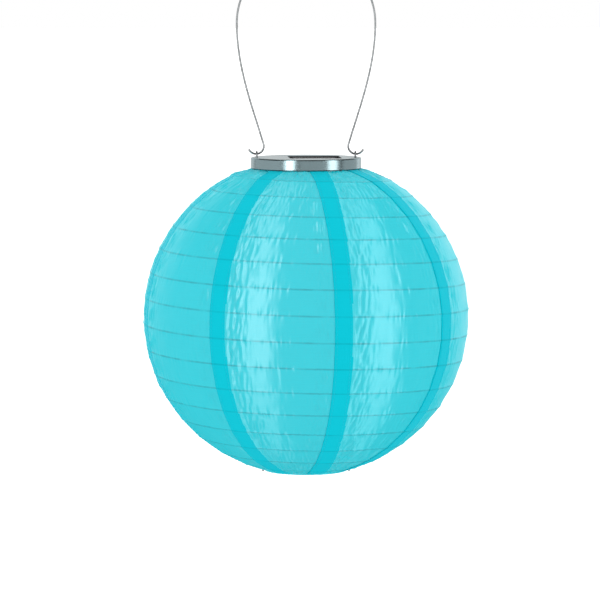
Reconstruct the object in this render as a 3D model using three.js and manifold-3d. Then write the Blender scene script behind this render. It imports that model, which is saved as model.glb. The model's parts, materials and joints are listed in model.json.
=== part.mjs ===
// A round hanging solar lantern with a nylon shade over a spiral wire.
// Units are millimetres, +Z is up, and the origin is where the handle's arch rests on its hook.
// X runs through the two eyes that the handle hooks into; the front of the lantern faces -Y.
import * as THREE from "three";
import { mergeVertices } from "three/addons/utils/BufferGeometryUtils.js";
import Module from "manifold-3d";

const wasm = await Module();
wasm.setup();

const GAP = 0.3; // between pieces that touch

// Shade: an ellipsoid of sewn gores, open at a neck under the lid and at a mouth below.
const SHADE_RADIUS = 127;
const SHADE_HALF_HEIGHT = 124;
const SHADE_THICKNESS = 0.6;
const GORE_COUNT = 8;
const FIRST_SEAM = -77; // degrees from +X
const SHOULDER_RADIUS = 53;
const NECK_RADIUS = 41.4;
const NECK_HEIGHT = 115; // above the shade's centre
const HEM_RADIUS = 34.9;
const PROFILE_STEPS = 14;
const LATHE_SEGMENTS = 48;

// Spiral wire inside the shade.
const SPIRAL_WIRE_RADIUS = 0.6;
const SPIRAL_INSET = 2.1; // from the shade's outside to the wire's centre line
const SPIRAL_PITCH = 9.28; // degrees of latitude in each turn
const SPIRAL_FRONT_LATITUDE = 5; // where it crosses the meridian below
const SPIRAL_FRONT_MERIDIAN = -84;
const SPIRAL_TOP = 62; // latitudes of its two ends
const SPIRAL_BOTTOM = -71;
const SPIRAL_STEPS_PER_TURN = 16;

// Lid.
const LID_RADIUS = 43;
const LID_HEIGHT = 8.3;
const LID_WALL = 0.8;
const LID_PLATE = 1;
const LID_EDGE_RADIUS = 1.2;
const LID_ABOVE_CENTRE = 124; // the lid's top above the shade's centre
const PANEL_TURN = 4; // degrees
const PANEL_SIDE = 37.4;
const PANEL_SHIFT = 7; // to the right of the axis, towards +X
const PANEL_THICKNESS = 1.2;
const PANEL_RECESS = 1.2; // from the lid's top down to the panel
const SEAL_WIDTH = 1;
const SEAL_HEIGHT = 1.9;
const POCKET_SIDE = PANEL_SIDE + 2 * (GAP + SEAL_WIDTH + GAP);
const POCKET_DEPTH = PANEL_RECESS + SEAL_HEIGHT + GAP;
const POCKET_WALL = 1.5;
const POCKET_FLOOR = 0.9;

// Handle wire, in the XZ plane, with heights above the lid's top.
const HANDLE_WIRE_RADIUS = 0.75;
const ARCH_RADIUS = 53.7;
const ARCH_CENTRE = 104;
const PIVOT_HEIGHT = 2.5; // the axis that the handle swings about
const HOOK_RADIUS = 6.05;
const HOOK_X = 38.85;
const HOOK_TIP_ANGLE = -23;
const HOOK_END_ANGLE = -196.7; // where the hook runs into the leg
const LEG_START_PULL = 31.3; // length of the leg curve's handles
const LEG_END_PULL = 34;

// Support wires and the two rings of the frame.
const SUPPORT_WIRE_RADIUS = 0.7;
const EYE_X = 38.3;
const EYE_RADIUS = 2.2;
const LEG_X = 36.3;
const FOOT_X = 25.4;
const FOOT_BEND_RADIUS = 1.9;
const SADDLE_RADIUS = 2.25;
const MOUTH_RING_RADIUS = 31.5;
const MOUTH_RING_WIRE = 0.8;
const MOUTH_RING_HEIGHT = -119.9; // above the shade's centre
const COLLAR_INNER = 40.1;
const COLLAR_OUTER = 41.9;
const COLLAR_HEIGHT = 4.7;
const COLLAR_BOTTOM = -8.7; // from the lid's top

// Light module under the lid, with heights from the lid's top.
const HOUSING_RADIUS = 33;
const HOUSING_WALL = 1.6;
const HOUSING_TOP = -4.6;
const HOUSING_BOTTOM = -25;
const HOUSING_FLOOR = 2.4;
const HOUSING_CHAMFER = 1.5;
const COVER_THICKNESS = 1;
const BOARD_RADIUS = 24.9;
const BOARD_THICKNESS = 1.6;
const BATTERY_RADIUS = 7.25;
const BATTERY_LENGTH = 50.5;
const BATTERY_NUB_RADIUS = 2.7;
const BATTERY_NUB_LENGTH = 1;
const DOOR_LENGTH = 58;
const DOOR_WIDTH = 18;
const DOOR_THICKNESS = 1.2;
const DOOR_EAR_RADIUS = 4;
const DOOR_EAR = [16, 10.5];
const DOOR_SCREW = [16, 11.5];
const DOOR_SCREW_RADIUS = 0.8;
const DOOR_SCREW_LENGTH = 5; // above the housing's floor
const DOOR_SCREW_HEAD_RADIUS = 1.8;
const DOOR_SCREW_HEAD_HEIGHT = 1;
const DOOR_BOSS_RADIUS = 3;
const LED_Y = 20;
const LED_RADIUS = 2.5;
const LED_FLANGE_RADIUS = 3;
const LED_STANDS_OUT = 3.5; // below the housing
const LED_LEG_SPACING = 2.54;
const LED_LEG_SIDE = 0.6;
const SCREW_RADIUS = 1.2;
const SCREW_HEAD_RADIUS = 2.2;
const SCREW_HEAD_HEIGHT = 1.5;
const SCREW_TIP = -2.4;
const SCREW_CIRCLE_RADIUS = 28.6;
const SCREW_DIRECTION = 100; // degrees from +X; the second screw is opposite
const BOSS_RADIUS = 3.2;
const SWITCH_Y = -15;
const SWITCH_OFF_X = -15.5;
const SWITCH_TRAVEL = 3;
const SWITCH_STEM = [3, 2];
const SWITCH_KNOB = [4, 3, 1.3];
const SWITCH_BODY = [10, 5, 3.5];
const SPRING_TURNS = 3;
const SPRING_STEPS_PER_TURN = 14;
const SPRING_WIRE_RADIUS = 0.35;
const SPRING_WIDE_RADIUS = 4.6; // at the contact plate
const SPRING_NARROW_RADIUS = 3; // at the battery
const SPRING_LENGTH = 3.1;
const SPRING_CLEARANCE = 0.65; // between the battery's end and the spring's last turn
const CONTACT_WIDTH = 10;
const CONTACT_THICKNESS = 0.4;
const LEAD_X = -8;
const LEAD_Y = 3;
const LEAD_RADIUS = 0.5;
const SLOT_CLEARANCE = 0.4; // around what passes through a slot or a hole

const HOUSING_INNER = HOUSING_RADIUS - HOUSING_WALL;
const FLOOR_TOP = HOUSING_BOTTOM + HOUSING_FLOOR;
const COVER_BOTTOM = HOUSING_TOP - COVER_THICKNESS;
const BOARD_TOP = COVER_BOTTOM - GAP;
const BOARD_BOTTOM = BOARD_TOP - BOARD_THICKNESS;
const BATTERY_AXIS = FLOOR_TOP + BATTERY_RADIUS;
const RECESS_TOP = HOUSING_BOTTOM + DOOR_THICKNESS;
const UNDER_BOARD = BOARD_BOTTOM - GAP;
const HANG_ABOVE_LID = ARCH_CENTRE + ARCH_RADIUS - HANDLE_WIRE_RADIUS;

const THROUGH = 1; // how far a cutter passes a face that it goes through

const rad = THREE.MathUtils.degToRad;

// ---- Shapes ----

// A closed solid ready for joins and cuts.
function solid(geometry) {
  const bare = geometry.clone();
  bare.deleteAttribute("normal");
  bare.deleteAttribute("uv");
  const merged = mergeVertices(bare, 1e-4);
  return new wasm.Manifold(
    new wasm.Mesh({
      numProp: 3,
      vertProperties: merged.attributes.position.array,
      triVerts: new Uint32Array(merged.index.array),
    }),
  );
}

function geometryOf(body) {
  const mesh = body.getMesh();
  const geometry = new THREE.BufferGeometry();
  geometry.setAttribute("position", new THREE.BufferAttribute(mesh.vertProperties, 3));
  geometry.setIndex(new THREE.BufferAttribute(mesh.triVerts, 1));
  const flat = geometry.toNonIndexed();
  flat.computeVertexNormals();
  return flat;
}

// A profile of [radius, height] points turned about Z. It runs anticlockwise, up the outside.
function turned(profile, segments = LATHE_SEGMENTS) {
  const points = profile.map(([r, z]) => new THREE.Vector2(r, z));
  return new THREE.LatheGeometry(points, segments).rotateX(Math.PI / 2);
}

function ringProfile(inner, outer, bottom, top) {
  return [
    [inner, bottom],
    [outer, bottom],
    [outer, top],
    [inner, top],
    [inner, bottom],
  ];
}

function post(radius, bottom, top, x = 0, y = 0, segments = 20) {
  const geometry = new THREE.CylinderGeometry(radius, radius, top - bottom, segments);
  return geometry.rotateX(Math.PI / 2).translate(x, y, (bottom + top) / 2);
}

function block([x0, x1], [y0, y1], [z0, z1]) {
  const geometry = new THREE.BoxGeometry(x1 - x0, y1 - y0, z1 - z0);
  return geometry.translate((x0 + x1) / 2, (y0 + y1) / 2, (z0 + z1) / 2);
}

// A route that takes one step from each of its points to the next.
class StepCurve extends THREE.CatmullRomCurve3 {
  getUtoTmapping(u) {
    return u;
  }
}

function wire(points, radius, sides) {
  const section = new THREE.Shape();
  section.absarc(0, 0, radius, 0, 2 * Math.PI);
  return new THREE.ExtrudeGeometry(section, {
    steps: points.length - 1,
    curveSegments: sides / 2,
    extrudePath: new StepCurve(points, false, "centripetal"),
  });
}

// Points on an arc in the plane of axes a and b, from one angle to another, in degrees.
function arc(centre, radius, from, to, steps, a = "x", b = "z") {
  return Array.from({ length: steps + 1 }, (_, i) => {
    const angle = rad(from + ((to - from) * i) / steps);
    const point = centre.clone();
    point[a] += radius * Math.cos(angle);
    point[b] += radius * Math.sin(angle);
    return point;
  });
}

const vec = (x, y, z) => new THREE.Vector3(x, y, z);

// ---- Finishes ----

function finish(color, roughness, metalness = 0) {
  return () => new THREE.MeshStandardMaterial({ color, roughness, metalness });
}

const wireSteel = finish(0xc4c8ca, 0.35, 0.9);
const lidMetal = finish(0xa9b6bb, 0.4, 0.85);
const nylon = finish(0x4bd5e0, 0.6);
const solarCell = finish(0x14202e, 0.15);
const rubber = finish(0x1c1e20, 0.8);
const plastic = finish(0xd8dcdc, 0.5);
const board = finish(0x1f6b3c, 0.5);
const lens = finish(0xf4f4e8, 0.1);
const batteryWrap = finish(0x3f8f4c, 0.4);
const brass = finish(0xc9a85a, 0.3, 0.9);
const darkPlastic = finish(0x2a2c2e, 0.5);
const leadRed = finish(0xb02a22, 0.6);
const leadBlack = finish(0x222222, 0.6);

function place(group, name, geometry, material) {
  const mesh = new THREE.Mesh(geometry, material());
  mesh.name = name;
  group.add(mesh);
  return mesh;
}

// ---- Handle ----

function handleRoute() {
  const hook = arc(
    vec(HOOK_X, 0, PIVOT_HEIGHT + HOOK_RADIUS),
    HOOK_RADIUS,
    HOOK_TIP_ANGLE,
    HOOK_END_ANGLE,
    12,
  );
  const start = hook.at(-1);
  const end = vec(ARCH_RADIUS, 0, ARCH_CENTRE);
  const away = rad(HOOK_END_ANGLE);
  const leg = new THREE.CubicBezierCurve3(
    start,
    start.clone().add(vec(Math.sin(away), 0, -Math.cos(away)).multiplyScalar(LEG_START_PULL)),
    end.clone().sub(vec(0, 0, LEG_END_PULL)),
    end,
  ).getPoints(10);
  const right = [...hook, ...leg.slice(1)];
  const arch = arc(vec(0, 0, ARCH_CENTRE), ARCH_RADIUS, 0, 180, 24).slice(1, -1);
  const left = right.map((p) => vec(-p.x, 0, p.z)).reverse();
  return [...right, ...arch, ...left];
}

// ---- Support wires and rings ----

function supportRoute() {
  const centre = -LID_ABOVE_CENTRE;
  const eyeTop = PIVOT_HEIGHT + HANDLE_WIRE_RADIUS + GAP + SUPPORT_WIRE_RADIUS;
  const eye = arc(vec(EYE_X, 0, eyeTop - EYE_RADIUS), EYE_RADIUS, 180, 0, 8, "y");
  const bendHeight = centre + MOUTH_RING_HEIGHT - 0.2;
  const saddleTop = MOUTH_RING_WIRE + GAP + SUPPORT_WIRE_RADIUS;
  const saddleHeight = centre + MOUTH_RING_HEIGHT + saddleTop - SADDLE_RADIUS;
  const bendX = FOOT_X + FOOT_BEND_RADIUS;
  const saddleX = bendX + FOOT_BEND_RADIUS + SADDLE_RADIUS;
  return [
    vec(EYE_X, -EYE_RADIUS - 3.2, -2.9),
    vec(EYE_X, -EYE_RADIUS - 1.4, -2.6),
    vec(EYE_X, -EYE_RADIUS, -1.3),
    ...eye,
    vec(EYE_X, EYE_RADIUS, -1.3),
    vec(EYE_X - 0.5, 0.8 * EYE_RADIUS, -3.4),
    vec(LEG_X + 0.4, 0.25 * EYE_RADIUS, -6.8),
    vec(LEG_X, 0, -10),
    vec(LEG_X, 0, -60),
    vec(LEG_X, 0, centre),
    vec(LEG_X, 0, centre - 86),
    vec(LEG_X - 1, 0, centre - 93),
    vec(FOOT_X + 3.4, 0, centre - 103),
    vec(FOOT_X + 0.4, 0, centre - 110),
    vec(FOOT_X, 0, centre - 115),
    ...arc(vec(bendX, 0, bendHeight), FOOT_BEND_RADIUS, 180, 360, 8),
    ...arc(vec(saddleX, 0, saddleHeight), SADDLE_RADIUS, 180, 0, 8),
    vec(saddleX + SADDLE_RADIUS, 0, centre + MOUTH_RING_HEIGHT - 2.2),
  ];
}

// ---- Shade ----

// A point of the shade's meridian, moved in along its normal, as [radius, height].
function meridianPoint(latitude, inset) {
  const c = Math.cos(rad(latitude));
  const s = Math.sin(rad(latitude));
  const size = Math.hypot(c / SHADE_RADIUS, s / SHADE_HALF_HEIGHT);
  return [
    SHADE_RADIUS * c - (inset * c) / SHADE_RADIUS / size,
    SHADE_HALF_HEIGHT * s - (inset * s) / SHADE_HALF_HEIGHT / size,
  ];
}

function shadeSkin() {
  const bottom = -THREE.MathUtils.radToDeg(Math.acos(HEM_RADIUS / SHADE_RADIUS));
  const top = THREE.MathUtils.radToDeg(Math.acos(SHOULDER_RADIUS / SHADE_RADIUS));
  const rows = Array.from(
    { length: PROFILE_STEPS + 1 },
    (_, i) => bottom + ((top - bottom) * i) / PROFILE_STEPS,
  );
  const outside = rows.map((latitude) => meridianPoint(latitude, 0));
  const inside = rows.map((latitude) => meridianPoint(latitude, SHADE_THICKNESS)).reverse();
  return turned([
    ...outside,
    [NECK_RADIUS, NECK_HEIGHT],
    [NECK_RADIUS, NECK_HEIGHT - SHADE_THICKNESS],
    ...inside,
    outside[0],
  ]);
}

// One gore: the skin inside a wedge whose sides stand half a gap off the seam planes.
function goreGeometry() {
  const reach = 2 * SHADE_RADIUS;
  const angle = (2 * Math.PI) / GORE_COUNT;
  const corner = GAP / 2 / Math.sin(angle / 2);
  const wedge = new THREE.Shape();
  wedge.moveTo(corner * Math.cos(angle / 2), corner * Math.sin(angle / 2));
  wedge.lineTo(reach, GAP / 2);
  wedge.lineTo(reach * Math.cos(angle) + GAP, reach * Math.sin(angle) - GAP / 2);
  const prism = new THREE.ExtrudeGeometry(wedge, { depth: reach, bevelEnabled: false });
  prism.translate(0, 0, -SHADE_RADIUS);
  return geometryOf(solid(shadeSkin()).intersect(solid(prism)));
}

function spiralRoute() {
  const turns = (SPIRAL_TOP - SPIRAL_BOTTOM) / SPIRAL_PITCH;
  const steps = Math.round(turns * SPIRAL_STEPS_PER_TURN);
  const fromFront = ((SPIRAL_FRONT_LATITUDE - SPIRAL_TOP) / SPIRAL_PITCH) * 360;
  return Array.from({ length: steps + 1 }, (_, i) => {
    const share = i / steps;
    const azimuth = rad(SPIRAL_FRONT_MERIDIAN + fromFront + 360 * turns * share);
    const latitude = SPIRAL_TOP + (SPIRAL_BOTTOM - SPIRAL_TOP) * share;
    const [r, z] = meridianPoint(latitude, SPIRAL_INSET);
    return vec(r * Math.cos(azimuth), r * Math.sin(azimuth), z);
  });
}

function buildShade(group) {
  const gore = goreGeometry();
  for (let i = 0; i < GORE_COUNT; i++) {
    const mesh = place(group, `gore_${i + 1}`, gore, nylon);
    mesh.rotation.z = rad(FIRST_SEAM + (360 / GORE_COUNT) * i);
  }
  place(group, "spiral_wire", wire(spiralRoute(), SPIRAL_WIRE_RADIUS, 4), wireSteel);
  const ring = new THREE.TorusGeometry(MOUTH_RING_RADIUS, MOUTH_RING_WIRE, 6, 32);
  place(group, "bottom_ring", ring, wireSteel).position.z = MOUTH_RING_HEIGHT;
}

// ---- Lid ----

function square(side, bottom, top) {
  const half = side / 2;
  const middle = block([-half, half], [-half, half], [bottom, top]).rotateZ(rad(PANEL_TURN));
  return middle.translate(PANEL_SHIFT, 0, 0);
}

function screwPlaces() {
  return [0, 180].map((turn) => {
    const angle = rad(SCREW_DIRECTION + turn);
    return [SCREW_CIRCLE_RADIUS * Math.cos(angle), SCREW_CIRCLE_RADIUS * Math.sin(angle)];
  });
}

function leadHole(side, bottom) {
  return post(LEAD_RADIUS + SLOT_CLEARANCE, bottom - THROUGH, 0, LEAD_X, side * LEAD_Y, 12);
}

function lidGeometry() {
  const inner = LID_RADIUS - LID_WALL;
  const edge = arc(
    vec(LID_RADIUS - LID_EDGE_RADIUS, 0, -LID_EDGE_RADIUS),
    LID_EDGE_RADIUS,
    0,
    90,
    4,
  );
  const bottom = -POCKET_DEPTH - POCKET_FLOOR;
  const half = LID_PLATE / 2;
  let lid = solid(
    turned(
      [
        [0, -LID_PLATE],
        [inner, -LID_PLATE],
        [inner, -LID_HEIGHT],
        [LID_RADIUS, -LID_HEIGHT],
        ...edge.map((p) => [p.x, p.z]),
        [0, 0],
      ],
    ),
  );
  lid = lid.add(solid(square(POCKET_SIDE + 2 * POCKET_WALL, bottom, -half)));
  for (const [x, y] of screwPlaces()) {
    lid = lid.add(solid(post(BOSS_RADIUS, bottom, -half, x, y)));
    lid = lid.subtract(solid(post(SCREW_RADIUS + GAP, bottom - THROUGH, SCREW_TIP + GAP, x, y)));
  }
  lid = lid.subtract(solid(square(POCKET_SIDE, -POCKET_DEPTH, THROUGH)));
  const slot = SUPPORT_WIRE_RADIUS + SLOT_CLEARANCE;
  const slotHalf = EYE_RADIUS + slot;
  for (const side of [-1, 1]) {
    const x = side * EYE_X;
    const through = [-LID_PLATE - THROUGH, THROUGH];
    lid = lid.subtract(solid(block([x - slot, x + slot], [-slotHalf, slotHalf], through)));
    lid = lid.subtract(solid(leadHole(side, bottom)));
  }
  return geometryOf(lid);
}

function buildLid(group) {
  place(group, "lid_shell", lidGeometry(), lidMetal);
  const panelTop = -PANEL_RECESS;
  const panel = square(PANEL_SIDE, panelTop - PANEL_THICKNESS, panelTop);
  place(group, "solar_panel", panel, solarCell);
  const sealInner = PANEL_SIDE + 2 * GAP;
  const seal = solid(square(sealInner + 2 * SEAL_WIDTH, panelTop - SEAL_HEIGHT, panelTop)).subtract(
    solid(square(sealInner, panelTop - SEAL_HEIGHT - THROUGH, panelTop + THROUGH)),
  );
  place(group, "panel_seal", geometryOf(seal), rubber);
}

// ---- Light module ----

// The battery door's outline, grown by a margin, between two heights.
function doorSolid(margin, bottom, top) {
  const halfLength = DOOR_LENGTH / 2 + margin;
  const halfWidth = DOOR_WIDTH / 2 + margin;
  const plate = solid(block([-halfLength, halfLength], [-halfWidth, halfWidth], [bottom, top]));
  return plate.add(solid(post(DOOR_EAR_RADIUS + margin, bottom, top, ...DOOR_EAR, 24)));
}

function housingGeometry() {
  const cup = [
    [0, HOUSING_BOTTOM],
    [HOUSING_RADIUS - HOUSING_CHAMFER, HOUSING_BOTTOM],
    [HOUSING_RADIUS, HOUSING_BOTTOM + HOUSING_CHAMFER],
    [HOUSING_RADIUS, HOUSING_TOP],
    [HOUSING_INNER, HOUSING_TOP],
    [HOUSING_INNER, FLOOR_TOP],
    [0, FLOOR_TOP],
  ];
  const below = HOUSING_BOTTOM - THROUGH;
  const throughFloor = [below, FLOOR_TOP + THROUGH];
  let housing = solid(turned(cup));
  for (const [x, y] of screwPlaces()) {
    const headHole = SCREW_HEAD_RADIUS + SLOT_CLEARANCE;
    const headSeat = HOUSING_BOTTOM + SCREW_HEAD_HEIGHT + 2 * GAP;
    housing = housing.add(solid(post(BOSS_RADIUS, HOUSING_BOTTOM + 1, BOARD_TOP, x, y)));
    housing = housing.subtract(solid(post(SCREW_RADIUS + GAP, below, 0, x, y)));
    housing = housing.subtract(solid(post(headHole, below, headSeat, x, y)));
  }
  const screwEnd = FLOOR_TOP + DOOR_SCREW_LENGTH;
  const boss = post(DOOR_BOSS_RADIUS, FLOOR_TOP - 0.2, screwEnd + 1.6, ...DOOR_SCREW);
  const bore = post(DOOR_SCREW_RADIUS + GAP, below, screwEnd + 2 * GAP, ...DOOR_SCREW, 12);
  housing = housing.add(solid(boss)).subtract(solid(bore));
  housing = housing.subtract(doorSolid(GAP, below, RECESS_TOP));
  const bayX = BATTERY_LENGTH / 2 + SLOT_CLEARANCE;
  const bayY = BATTERY_RADIUS + SLOT_CLEARANCE;
  housing = housing.subtract(solid(block([-bayX, bayX], [-bayY, bayY], throughFloor)));
  for (const side of [-1, 1]) {
    const hole = post(LED_RADIUS + SLOT_CLEARANCE, ...throughFloor, 0, side * LED_Y);
    housing = housing.subtract(solid(hole));
  }
  const slotHalfX = SWITCH_STEM[0] / 2 + SLOT_CLEARANCE;
  const slotHalfY = SWITCH_STEM[1] / 2 + SLOT_CLEARANCE;
  const slotX = [SWITCH_OFF_X - slotHalfX, SWITCH_OFF_X + SWITCH_TRAVEL + slotHalfX];
  const slotY = [SWITCH_Y - slotHalfY, SWITCH_Y + slotHalfY];
  return geometryOf(housing.subtract(solid(block(slotX, slotY, throughFloor))));
}

function coverGeometry() {
  const rim = HOUSING_INNER - SLOT_CLEARANCE;
  let cover = solid(post(rim, COVER_BOTTOM, HOUSING_TOP, 0, 0, 32));
  for (const [x, y] of screwPlaces()) {
    cover = cover.subtract(solid(post(SCREW_RADIUS + GAP, COVER_BOTTOM - THROUGH, 0, x, y)));
  }
  for (const side of [-1, 1]) {
    cover = cover.subtract(solid(leadHole(side, COVER_BOTTOM)));
  }
  return geometryOf(cover);
}

function ledGeometry(y) {
  const flange = FLOOR_TOP + GAP;
  const tip = HOUSING_BOTTOM - LED_STANDS_OUT;
  const dome = arc(vec(0, 0, tip + LED_RADIUS), LED_RADIUS, -90, 0, 5);
  const body = [
    [0, tip],
    ...dome.slice(1).map((p) => [p.x, p.z]),
    [LED_RADIUS, flange],
    [LED_FLANGE_RADIUS, flange],
    [LED_FLANGE_RADIUS, flange + 1],
    [0, flange + 1],
  ];
  let led = solid(turned(body, 16).translate(0, y, 0));
  const half = LED_LEG_SIDE / 2;
  for (const x of [-LED_LEG_SPACING / 2, LED_LEG_SPACING / 2]) {
    const leg = block([x - half, x + half], [y - half, y + half], [flange + 0.5, UNDER_BOARD]);
    led = led.add(solid(leg));
  }
  return geometryOf(led);
}

function batteryGeometry() {
  const half = BATTERY_LENGTH / 2;
  const shoulder = half - BATTERY_NUB_LENGTH;
  const profile = [
    [0, -half],
    [BATTERY_RADIUS, -half],
    [BATTERY_RADIUS, shoulder],
    [BATTERY_NUB_RADIUS, shoulder],
    [BATTERY_NUB_RADIUS, half],
    [0, half],
  ];
  return turned(profile, 32).rotateY(Math.PI / 2).translate(0, 0, BATTERY_AXIS + 0.05);
}

function springGeometry() {
  const steps = SPRING_TURNS * SPRING_STEPS_PER_TURN;
  const front = -(BATTERY_LENGTH / 2) - SPRING_CLEARANCE;
  const points = Array.from({ length: steps + 1 }, (_, i) => {
    const share = i / steps;
    const angle = 2 * Math.PI * SPRING_TURNS * share;
    const radius = THREE.MathUtils.lerp(SPRING_WIDE_RADIUS, SPRING_NARROW_RADIUS, share);
    return vec(
      front - SPRING_LENGTH * (1 - share),
      radius * Math.cos(angle),
      BATTERY_AXIS + radius * Math.sin(angle),
    );
  });
  return wire(points, SPRING_WIRE_RADIUS, 4);
}

function screwGeometry([x, y], headBottom, headHeight, headRadius, tip, radius) {
  const profile = [
    [0, headBottom],
    [headRadius, headBottom],
    [headRadius, headBottom + headHeight],
    [radius, headBottom + headHeight],
    [radius, tip],
    [0, tip],
  ];
  return turned(profile, 16).translate(x, y, 0);
}

// A block of the switch, centred on the switch's line.
function standing([width, depth], x, bottom, top) {
  const across = [SWITCH_Y - depth / 2, SWITCH_Y + depth / 2];
  return block([x - width / 2, x + width / 2], across, [bottom, top]);
}

function buildModule(group) {
  place(group, "module_housing", housingGeometry(), plastic);
  place(group, "module_cover", coverGeometry(), plastic);
  place(group, "circuit_board", post(BOARD_RADIUS, BOARD_BOTTOM, BOARD_TOP, 0, 0, 32), board);
  const chip = block([-13, -7], [11, 16], [UNDER_BOARD - 1.6, UNDER_BOARD]);
  place(group, "control_chip", chip, darkPlastic);
  place(group, "inductor", post(2.6, UNDER_BOARD - 4.6, UNDER_BOARD, 10, -14), darkPlastic);
  place(group, "led_front", ledGeometry(-LED_Y), lens);
  place(group, "led_rear", ledGeometry(LED_Y), lens);
  place(group, "battery", batteryGeometry(), batteryWrap);

  const end = BATTERY_LENGTH / 2;
  const springBack = -end - SPRING_CLEARANCE - SPRING_LENGTH - 2 * SPRING_WIRE_RADIUS;
  const contactY = [-CONTACT_WIDTH / 2, CONTACT_WIDTH / 2];
  const contactZ = [BATTERY_AXIS - 6, BOARD_TOP];
  const contact = (x) => block([x, x + CONTACT_THICKNESS], contactY, contactZ);
  place(group, "contact_plate_positive", contact(end + SLOT_CLEARANCE), brass);
  place(group, "contact_plate_negative", contact(springBack - CONTACT_THICKNESS), brass);
  place(group, "contact_spring", springGeometry(), brass);

  const doorTop = RECESS_TOP - GAP;
  const doorBottom = doorTop - DOOR_THICKNESS;
  const screwHole = [doorBottom - THROUGH, doorTop + THROUGH];
  const door = doorSolid(0, doorBottom, doorTop).subtract(
    solid(post(DOOR_SCREW_RADIUS + GAP, ...screwHole, ...DOOR_SCREW, 12)),
  );
  place(group, "battery_door", geometryOf(door), plastic);
  const doorScrew = screwGeometry(
    DOOR_SCREW,
    doorBottom - GAP - DOOR_SCREW_HEAD_HEIGHT,
    DOOR_SCREW_HEAD_HEIGHT,
    DOOR_SCREW_HEAD_RADIUS,
    FLOOR_TOP + DOOR_SCREW_LENGTH,
    DOOR_SCREW_RADIUS,
  );
  place(group, "door_screw", doorScrew, wireSteel);

  const bodyX = SWITCH_OFF_X + SWITCH_TRAVEL / 2;
  const bodyBottom = FLOOR_TOP + GAP;
  const switchBody = standing(SWITCH_BODY, bodyX, bodyBottom, bodyBottom + SWITCH_BODY[2]);
  place(group, "switch_body", switchBody, darkPlastic);
  const knobTop = HOUSING_BOTTOM - GAP;
  const stem = standing(SWITCH_STEM, SWITCH_OFF_X, knobTop - 0.5, FLOOR_TOP - 0.1);
  const knob = standing(SWITCH_KNOB, SWITCH_OFF_X, knobTop - SWITCH_KNOB[2], knobTop);
  place(group, "switch_slider", geometryOf(solid(stem).add(solid(knob))), darkPlastic);

  screwPlaces().forEach((at, i) => {
    const screw = screwGeometry(
      at,
      HOUSING_BOTTOM + GAP,
      SCREW_HEAD_HEIGHT,
      SCREW_HEAD_RADIUS,
      SCREW_TIP,
      SCREW_RADIUS,
    );
    place(group, `housing_screw_${i + 1}`, screw, wireSteel);
  });

  const leadTop = -PANEL_RECESS - PANEL_THICKNESS - GAP;
  const leadBottom = BOARD_TOP + GAP;
  const leads = [
    ["panel_lead_positive", LEAD_Y, leadRed],
    ["panel_lead_negative", -LEAD_Y, leadBlack],
  ];
  for (const [name, y, colour] of leads) {
    place(group, name, post(LEAD_RADIUS, leadBottom, leadTop, LEAD_X, y, 8), colour);
  }
}

// ---- Assembly ----

const lantern = new THREE.Group();

const belowHook = new THREE.Group(); // its origin is the middle of the lid's top
belowHook.position.z = -HANG_ABOVE_LID;
lantern.add(belowHook);

place(belowHook, "handle_wire", wire(handleRoute(), HANDLE_WIRE_RADIUS, 6), wireSteel);
const support = wire(supportRoute(), SUPPORT_WIRE_RADIUS, 6);
place(belowHook, "support_wire_right", support, wireSteel);
place(belowHook, "support_wire_left", support, wireSteel).rotation.z = Math.PI;
const collar = turned(
  ringProfile(COLLAR_INNER, COLLAR_OUTER, COLLAR_BOTTOM, COLLAR_BOTTOM + COLLAR_HEIGHT),
);
place(belowHook, "top_collar", collar, darkPlastic);
buildLid(belowHook);
buildModule(belowHook);

const shade = new THREE.Group(); // its origin is the middle of the shade
shade.position.z = -LID_ABOVE_CENTRE;
belowHook.add(shade);
buildShade(shade);

export default lantern;
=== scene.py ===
"""The looks of a round hanging solar lantern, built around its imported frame.

Everything is in metres in the frame's own axes: +Z is up along the lantern, X runs through the two
eyes that the handle hooks into, and the origin is where the handle's arch rests on its hook.
"""

import json
import logging
import math
from collections.abc import Callable, Sequence
from dataclasses import dataclass
from enum import Enum
from functools import cache, cached_property
from math import radians
from typing import Any

import bmesh
import bpy
from mathutils import Matrix, Vector


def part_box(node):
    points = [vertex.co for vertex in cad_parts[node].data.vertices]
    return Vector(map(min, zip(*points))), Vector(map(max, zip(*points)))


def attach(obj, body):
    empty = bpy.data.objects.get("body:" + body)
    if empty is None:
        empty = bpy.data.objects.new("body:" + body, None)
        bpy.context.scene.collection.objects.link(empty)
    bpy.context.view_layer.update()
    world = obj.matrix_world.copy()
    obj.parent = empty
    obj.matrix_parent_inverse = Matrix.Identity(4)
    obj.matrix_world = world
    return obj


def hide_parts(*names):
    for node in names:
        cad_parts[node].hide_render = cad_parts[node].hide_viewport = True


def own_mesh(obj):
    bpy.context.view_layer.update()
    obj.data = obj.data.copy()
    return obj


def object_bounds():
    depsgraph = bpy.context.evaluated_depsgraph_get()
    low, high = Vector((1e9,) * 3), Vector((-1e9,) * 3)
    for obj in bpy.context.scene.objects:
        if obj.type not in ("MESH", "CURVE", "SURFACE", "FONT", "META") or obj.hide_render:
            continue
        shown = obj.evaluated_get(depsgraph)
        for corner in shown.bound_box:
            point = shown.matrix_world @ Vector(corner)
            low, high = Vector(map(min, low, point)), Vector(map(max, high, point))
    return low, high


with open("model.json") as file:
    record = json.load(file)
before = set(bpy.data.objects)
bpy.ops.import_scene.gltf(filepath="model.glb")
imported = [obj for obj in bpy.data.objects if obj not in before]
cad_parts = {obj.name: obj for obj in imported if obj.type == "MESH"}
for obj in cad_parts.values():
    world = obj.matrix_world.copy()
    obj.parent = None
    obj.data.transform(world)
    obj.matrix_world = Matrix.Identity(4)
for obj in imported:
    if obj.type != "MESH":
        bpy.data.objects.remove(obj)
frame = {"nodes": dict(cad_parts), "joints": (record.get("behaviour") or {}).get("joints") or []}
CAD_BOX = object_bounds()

TURN = 2 * math.pi
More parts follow.
